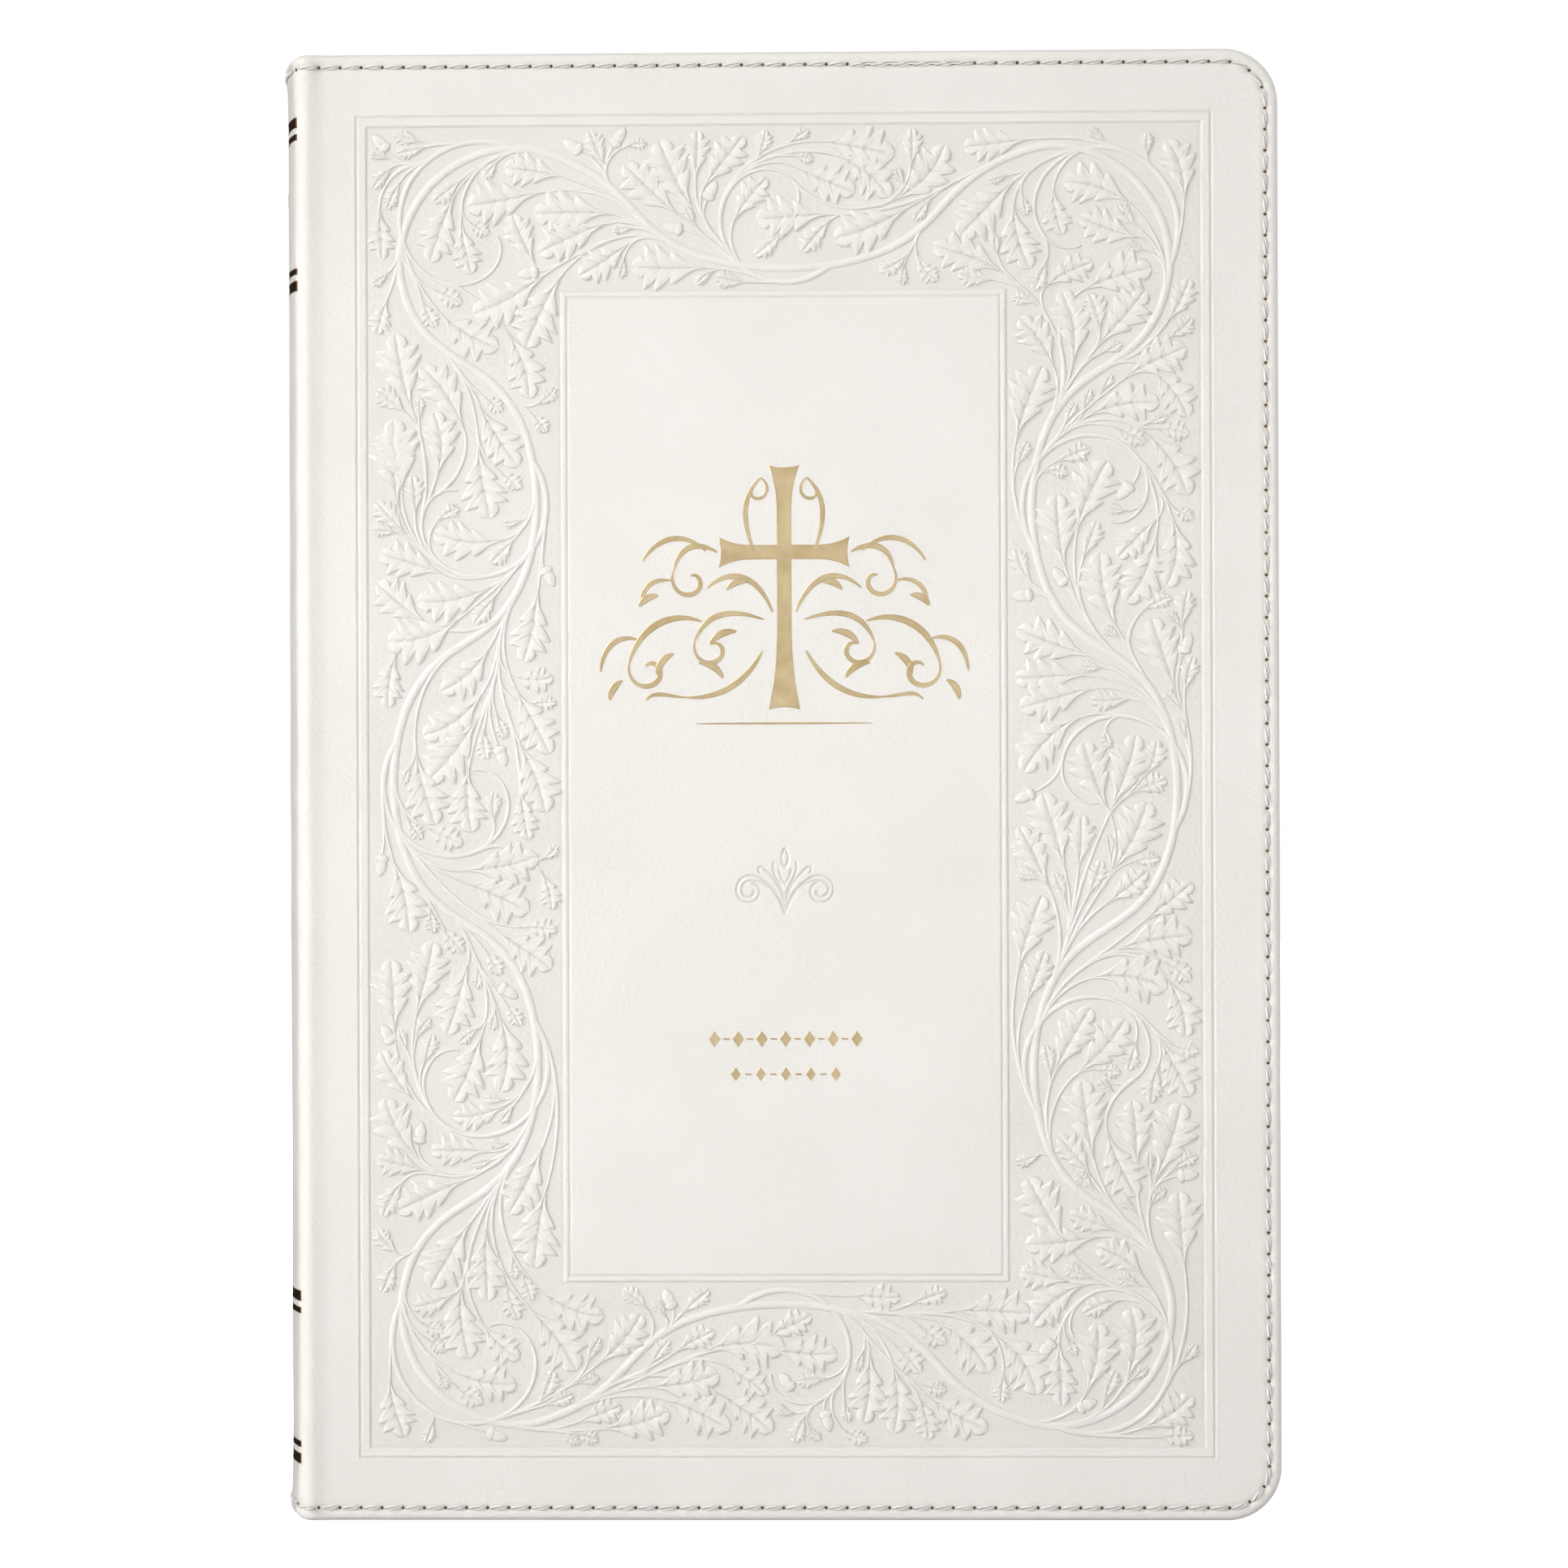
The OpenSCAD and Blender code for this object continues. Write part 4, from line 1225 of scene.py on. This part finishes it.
def front_foil():
    """The front's foil: a cross between mirrored scrolls, a rule, and two rows of lozenges."""
    shape = Shape()
    add_foil_plate(shape, cross_outline(PANEL_CX, 126.4, 38.2, 151.0, 20.5, 2.3, 1.3), flat_point)
    for points, half in foil_ornament():
        widths = taper(len(points), 0.8 * half)
        add_foil_stroke(shape, points + (PANEL_CX, 0), widths, flat_point)
        mirrored = points[::-1] * (-1, 1) + (PANEL_CX, 0)
        add_foil_stroke(shape, mirrored, widths[::-1], flat_point)
    rule = np.stack([np.linspace(-13.7, 13.7, 30) + PANEL_CX, np.full(30, 124.3)], -1)
    add_foil_stroke(shape, rule, taper(30, 0.17, 0.05), flat_point)
    for z, count, wide, pitch in ((75.1, 7, 2.3, 3.7), (69.6, 5, 2.0, 3.9)):
        for i in range(count):
            x = PANEL_CX + (i - (count - 1) / 2) * pitch
            add_foil_plate(shape, subdivided(lozenge(x, z, wide * 0.8, wide * 1.15)), flat_point, 0.12)
            if i:
                dash = np.stack([np.linspace(-0.5, 0.5, 8) + x - pitch / 2, np.full(8, z)], -1)
                add_foil_stroke(shape, dash, 0.14, flat_point)
    shape.make("title_foil_work", "front_cover", "gold_foil", [FOIL], ["title_foil"])


def spine_foil():
    """Foil bands round the spine, with a small cross in its top panel and a lozenge in its bottom one."""
    shape = Shape()

    def on_spine(across, z, h):
        """across runs from the front cover's side of the spine to the back's."""
        u, z = SPINE_U + np.abs(across), np.asarray(z, float)
        side = np.where(np.asarray(across) < 0, -1, 1)
        return wrap(u, z, h + level(u, z, np.minimum(z, HEIGHT - z)), side)

    reach = SEAM_U - SPINE_U + BAND_OVER
    across = np.concatenate([[-reach], np.linspace(0.1 - reach, reach - 0.1, 71), [reach]])
    ends = np.where(np.abs(across) > reach - 0.01, -0.16, 1.0)
    over = 0.08 * smooth(np.abs(across), reach - BAND_OVER - 0.3, reach - BAND_OVER)
    for middle, half in band_rows():
        z = middle + half * np.array([-1, -0.86, -0.5, 0, 0.5, 0.86, 1])
        lift = np.array([-0.09, FOIL_LIFT - 0.04, -0.01, -0.02, -0.01, FOIL_LIFT - 0.04, -0.09])
        raised = np.minimum(lift[None], ends[:, None]) + over[:, None]
        ids = shape.add(on_spine(across[:, None], z[None], raised))
        shape.grid(ids, flip=True)
    add_foil_plate(shape, cross_outline(0.0, 199.5, 12.5, 207.4, 7.4, 1.1, 0.55, 6), on_spine, 0.1)
    add_foil_plate(shape, subdivided(lozenge(0, 22.6, 4.2, 6.4)), on_spine, 0.2)
    for z in (17.9, 27.3):
        add_foil_plate(shape, subdivided(lozenge(0, z, 1.3, 1.9)), on_spine, 0.1)
    # the spine's foil takes the darkened gold, a painted dark reflection
    shape.make("spine_foil_work", "book_block", "gold_foil", [SPINE_FOIL_PAINTED_DARK], ["spine_foil"])


front_foil()
spine_foil()


# ---- Book block ----

PAGE_LOW, PAGE_HIGH = box_mm("section_01")
PAGE_Z0, PAGE_Z1 = PAGE_LOW[2], PAGE_HIGH[2]
PAGE_R = 7.0
BLOCK_R = SPINE_CX - box_mm("section_07")[0][0]
INNER_Y = HALF_T - COVER_T
SQUARE = PAGE_Z0
PAGE_W = RIGHT - SQUARE - (SPINE_CX - math.sqrt(BLOCK_R**2 - INNER_Y**2))


def back_x(y):
    """Where the book block's rounded back is, at a place across its thickness."""
    return SPINE_CX - np.sqrt(BLOCK_R**2 - np.asarray(y, float) ** 2)


PAGE_GRAIN = np.random.default_rng(SEED + 1).uniform(0, 1, (14, 3))


def leaf_unevenness(y, along):
    """How far leaves stand out at a page edge: steps between leaves, and slow waves along it."""
    steps = sum(w * np.sin(y * (9 + 31 * f) + 6.28 * p) for f, p, w in PAGE_GRAIN) / 7
    waves = sum(w * np.sin(along * (0.02 + 0.1 * f) + 6.28 * p + y) for f, p, w in PAGE_GRAIN) / 7
    return 0.05 * steps + 0.04 * waves


def page_slab(name, node, body, x_start, turning=None, extra=()):
    """A bundle of leaves: a closed slab with paper faces, gilt edges and rounded fore-edge corners."""
    low, high = box_mm(node)
    layers = max(2, int(round((high[1] - low[1]) / 0.28)) + 1)
    ys = np.linspace(low[1], high[1], layers)
    shape = Shape()
    t = np.concatenate([np.linspace(0, 0.075, 14), np.linspace(0.075, 0.95, 30)[1:],
                        1 - 0.05 * np.cos(np.linspace(0, math.pi / 2, 9))[1:]])
    m = np.linspace(0, 1, 33)
    y, start = ys[:, None, None], np.asarray(x_start(ys), float)[:, None, None]
    fore = back_x(ys)[:, None, None] + PAGE_W
    x = start + (fore - start) * t[None, :, None]
    into = np.maximum(x - (fore - PAGE_R), 0)
    cut = PAGE_R - np.sqrt(np.maximum(PAGE_R**2 - into**2, 0))
    z0, z1 = PAGE_Z0 + cut, PAGE_Z1 - cut
    z = z0 + (z1 - z0) * m[None, None, :]
    inside = (m[None, None, :] > 0) & (m[None, None, :] < 1)
    z = z + np.where(inside, 0, leaf_unevenness(y, x) * np.where(m[None, None, :] > 0.5, 1, -1))
    x = x + 0 * z
    x[:, -1, :] += leaf_unevenness(ys[:, None], z[:, -1, :])
    ids = shape.add(np.stack([x, y + 0 * z, z], -1))
    shape.grid(ids[0])
    shape.grid(ids[-1], flip=True)
    shape.grid(ids[:, :, -1].T, slot=1)
    shape.grid(ids[:, :, 0].T, slot=1, flip=True)
    shape.grid(ids[:, -1, :], slot=1)
    shape.grid(ids[:, 0, :], flip=True)
    paper = END_PAPER if "flyleaf" in node else BIBLE_PAPER
    slot = "endpaper" if "flyleaf" in node else "paper"
    piece = shape.make(name, None if turning else body, slot, [paper, GILT], [node, *extra], sharp=45)
    if turning:
        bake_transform(piece)


def section_start(y0, y1):
    """Where a sewn section starts, rounded at its fold."""
    middle, half = (y0 + y1) / 2, (y1 - y0) / 2
    return lambda y: back_x(middle) + half - np.sqrt(np.maximum(half**2 - (y - middle) ** 2, 0))


def glued_start(y):
    """Where a turning leaf starts, glued in beside the sewn sections."""
    return back_x(y) + 0.15


for node in sorted(frame["nodes"]):
    if node.startswith("section_"):
        low, high = box_mm(node)
        page_slab(f"sewn_{node}", node, "book_block", section_start(low[1], high[1]))
LEAF_BODIES = {
    "front_flyleaf": "front_endleaf", "front_leaves_1": "front_turn_1", "front_leaves_2": "front_turn_2",
    "front_leaves_3": "front_turn_3", "back_flyleaf": "back_endleaf", "back_leaves_1": "back_turn_1",
    "back_leaves_2": "back_turn_2",
}
for node, turning in LEAF_BODIES.items():
    extra = [f"{node.split('_')[0]}_leaf_folds"] if node.endswith("leaves_1") else []
    page_slab(f"bound_{node}", node, "book_block", glued_start, turning, extra)


def joint_paper(side):
    """The endpaper's fold, from the block round the hinge to the pastedown."""
    shape = Shape()
    xs = np.linspace(HINGE_X - 0.9, HINGE_X + 1.9, 23)
    zs = np.linspace(PAGE_Z0, PAGE_Z1, 40)
    x, z = np.meshgrid(xs, zs, indexing="ij")
    depth = INNER_Y - 0.02 - 0.07 * (1 - smooth(x, HINGE_X + 0.2, HINGE_X + 1.4))
    ids = shape.add(np.stack([x, side * depth, z], -1))
    under = shape.add(np.stack([x, side * (depth + 0.06), z], -1))
    shape.grid(ids, flip=side < 0)
    shape.grid(under, flip=side > 0)
    for a, b, turn in ((ids[:, 0], under[:, 0], False), (ids[:, -1], under[:, -1], True),
                       (ids[0], under[0], True), (ids[-1], under[-1], False)):
        shape.grid(np.stack([a, b], 1), flip=turn == (side < 0))
    name = "front_joint_paper" if side < 0 else "back_joint_paper"
    piece = shape.make(name, None, "endpaper", [END_PAPER], sharp=45)
    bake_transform(piece)


joint_paper(-1)
joint_paper(1)


def end_band(node):
    """A head or tail band: cord wrapped with thread in two colours, following the rounded back."""
    low, high = box_mm(node)
    half_y, mid_z = high[1] - 0.3, (low[2] + high[2]) / 2
    radius = (high[2] - low[2]) / 2
    reach = SPINE_CX - low[0] - radius
    shape = Shape()
    turn = np.linspace(-math.asin(half_y / reach), math.asin(half_y / reach), 361)
    ring = np.linspace(0, 2 * math.pi, 17)[:-1]
    wraps = np.arange(len(turn)) % 6
    swell = radius * (0.90 + 0.10 * np.sin(math.pi * (wraps + 0.5) / 6))
    swell[0] = swell[-1] = 0.3 * radius
    out = reach + swell[:, None] * np.cos(ring)[None]
    x = SPINE_CX - out * np.cos(turn)[:, None]
    y = out * np.sin(turn)[:, None]
    z = mid_z + swell[:, None] * np.sin(ring)[None]
    tone = ((np.arange(len(turn)) // 12) % 2)[:, None] + 0 * x
    ids = shape.add(np.stack([x, y, z], -1), tone)
    shape.grid(np.concatenate([ids, ids[:, :1]], 1), flip=True)
    shape.face_list([ids[0].tolist(), ids[-1][::-1].tolist()])
    shape.make(f"wound_{node}", "book_block", "band_cloth", [BAND], [node])


end_band("head_band")
end_band("tail_band")

# ---- CAD pieces that stay, with their own materials ----
CAD_LOOKS = {
    "front_board": BOARD, "back_board": BOARD, "spine_inlay": BOARD, "spine_liner": BOARD,
    "mull_cloth": CLOTH, "sewing_tapes": CLOTH,
    "front_pastedown": END_PAPER_CAD, "back_pastedown": END_PAPER_CAD,
}
for node, material in CAD_LOOKS.items():
    for slot in frame["nodes"][node].material_slots:
        slot.material = material

# ---- Stage, lights and camera ----


def stage_plane(name, corners, material):
    """A plane that only the camera sees, and that catches shadows."""
    mesh = bpy.data.meshes.new(name)
    mesh.from_pydata(corners, [], [(0, 1, 2, 3)])
    mesh.materials.append(material)
    plane = bpy.data.objects.new(name, mesh)
    bpy.context.scene.collection.objects.link(plane)
    plane.visible_diffuse = False
    plane.visible_glossy = False


def floor_material():
    """White paper, bright enough to stay white under the lights."""
    f = Finish("studio_floor")
    return f.done(Base_Color=(0.90, 0.90, 0.90), Roughness=0.9,
                  Emission_Color=(1, 1, 1), Emission_Strength=0.85)


def area_light(name, place, target, size, power, colour, spread=180, glossy=False):
    """A square soft light; only a glossy one shows up in reflections."""
    data = bpy.data.lights.new(name, "AREA")
    data.shape = "RECTANGLE"
    data.size = data.size_y = size
    data.energy = power
    data.color = colour
    data.spread = math.radians(spread)
    lamp = bpy.data.objects.new(name, data)
    lamp.location = place
    lamp.rotation_mode = "QUATERNION"
    lamp.rotation_quaternion = (Vector(target) - Vector(place)).to_track_quat("-Z", "Y")
    lamp.visible_glossy = glossy
    bpy.context.scene.collection.objects.link(lamp)


stage_plane("floor", [(-4, -4, 0), (4, -4, 0), (4, 4, 0), (-4, 4, 0)], floor_material())
MIDDLE = (0, -MM * HALF_T, MM * HEIGHT / 2)
FILL_AIM = (-0.016, -0.017, 0.113)
area_light("key", (-1.54, -1.08, 1.08), MIDDLE, 0.55, 24.0, (1.0, 0.985, 0.965), glossy=True)
area_light("fill", (-0.36, -1.3, 0.115), FILL_AIM, 0.3, 0.165, (0.985, 0.99, 1.0), spread=22)
area_light("side", (-1.2, -0.22, 0.12), MIDDLE, 0.5, 3.4, (1.0, 1.0, 1.0))
area_light("rim", (1.5, 0.35, 0.45), MIDDLE, 0.6, 8.0, (1.0, 1.0, 1.0))
area_light("back", (0.70, 1.60, 0.70), MIDDLE, 0.8, 20.0, (1.0, 0.99, 0.98))


def towards(graph, axis, *stops):
    """A colour ramp over how nearly a direction points along an axis."""
    dot = graph.node("VectorMath", operation="DOT_PRODUCT")
    graph.feed(dot.inputs[0], graph.node("TexCoord").outputs["Generated"])
    graph.feed(dot.inputs[1], axis)
    return graph.ramp(dot.outputs["Value"], *stops)


def studio_world():
    """White to the camera; to the object, soft light that is dark to the left and brightest in front."""
    world = bpy.data.worlds.new("studio")
    world.use_nodes = True
    g = Graph(world.node_tree)
    white, grey, black = (1, 1, 1), (0.5, 0.5, 0.5), (0.02, 0.02, 0.02)
    flag = towards(g, (-0.88, 0.475, 0), (0.44, white), (0.64, black))
    front = towards(g, (0, -1, 0), (0.78, grey), (0.93, white))
    around, seen = g.nodes["Background"], g.node("Background")
    g.feed(around.inputs["Strength"], 0.80)
    g.feed(around.inputs["Color"], g.mix(1.0, flag, front, "MULTIPLY"))
    g.feed(seen.inputs["Strength"], 1.0)
    g.feed(seen.inputs["Color"], white)
    either = g.node("MixShader")
    g.feed(either.inputs[0], g.node("LightPath").outputs["Is Camera Ray"])
    g.feed(either.inputs[1], around.outputs[0])
    g.feed(either.inputs[2], seen.outputs[0])
    g.feed(g.nodes["World Output"].inputs["Surface"], either.outputs[0])
    return world


bpy.context.scene.world = studio_world()
bpy.context.scene.view_settings.view_transform = "Standard"

CAMERA_AWAY = 1.1
CAMERA_ROLL = math.radians(0.2)
VIEW_W = 0.2446  # what the square picture spans at the front cover
camera_data = bpy.data.cameras.new("camera")
camera_data.sensor_width = 36.0
camera_data.lens = 36.0 * CAMERA_AWAY / VIEW_W
camera = bpy.data.objects.new("camera", camera_data)
AIM = Vector((0.0002, -MM * HALF_T, 0.11499))
CAMERA_TURN = math.radians(2.25)  # turned to the left, which draws the fore-edge a little taller
camera_data.shift_x = math.tan(CAMERA_TURN) * CAMERA_AWAY / VIEW_W
camera.location = AIM + Vector((0, -CAMERA_AWAY, 0))
camera.rotation_euler = (math.pi / 2, CAMERA_ROLL, CAMERA_TURN)
bpy.context.scene.collection.objects.link(camera)
bpy.context.scene.camera = camera
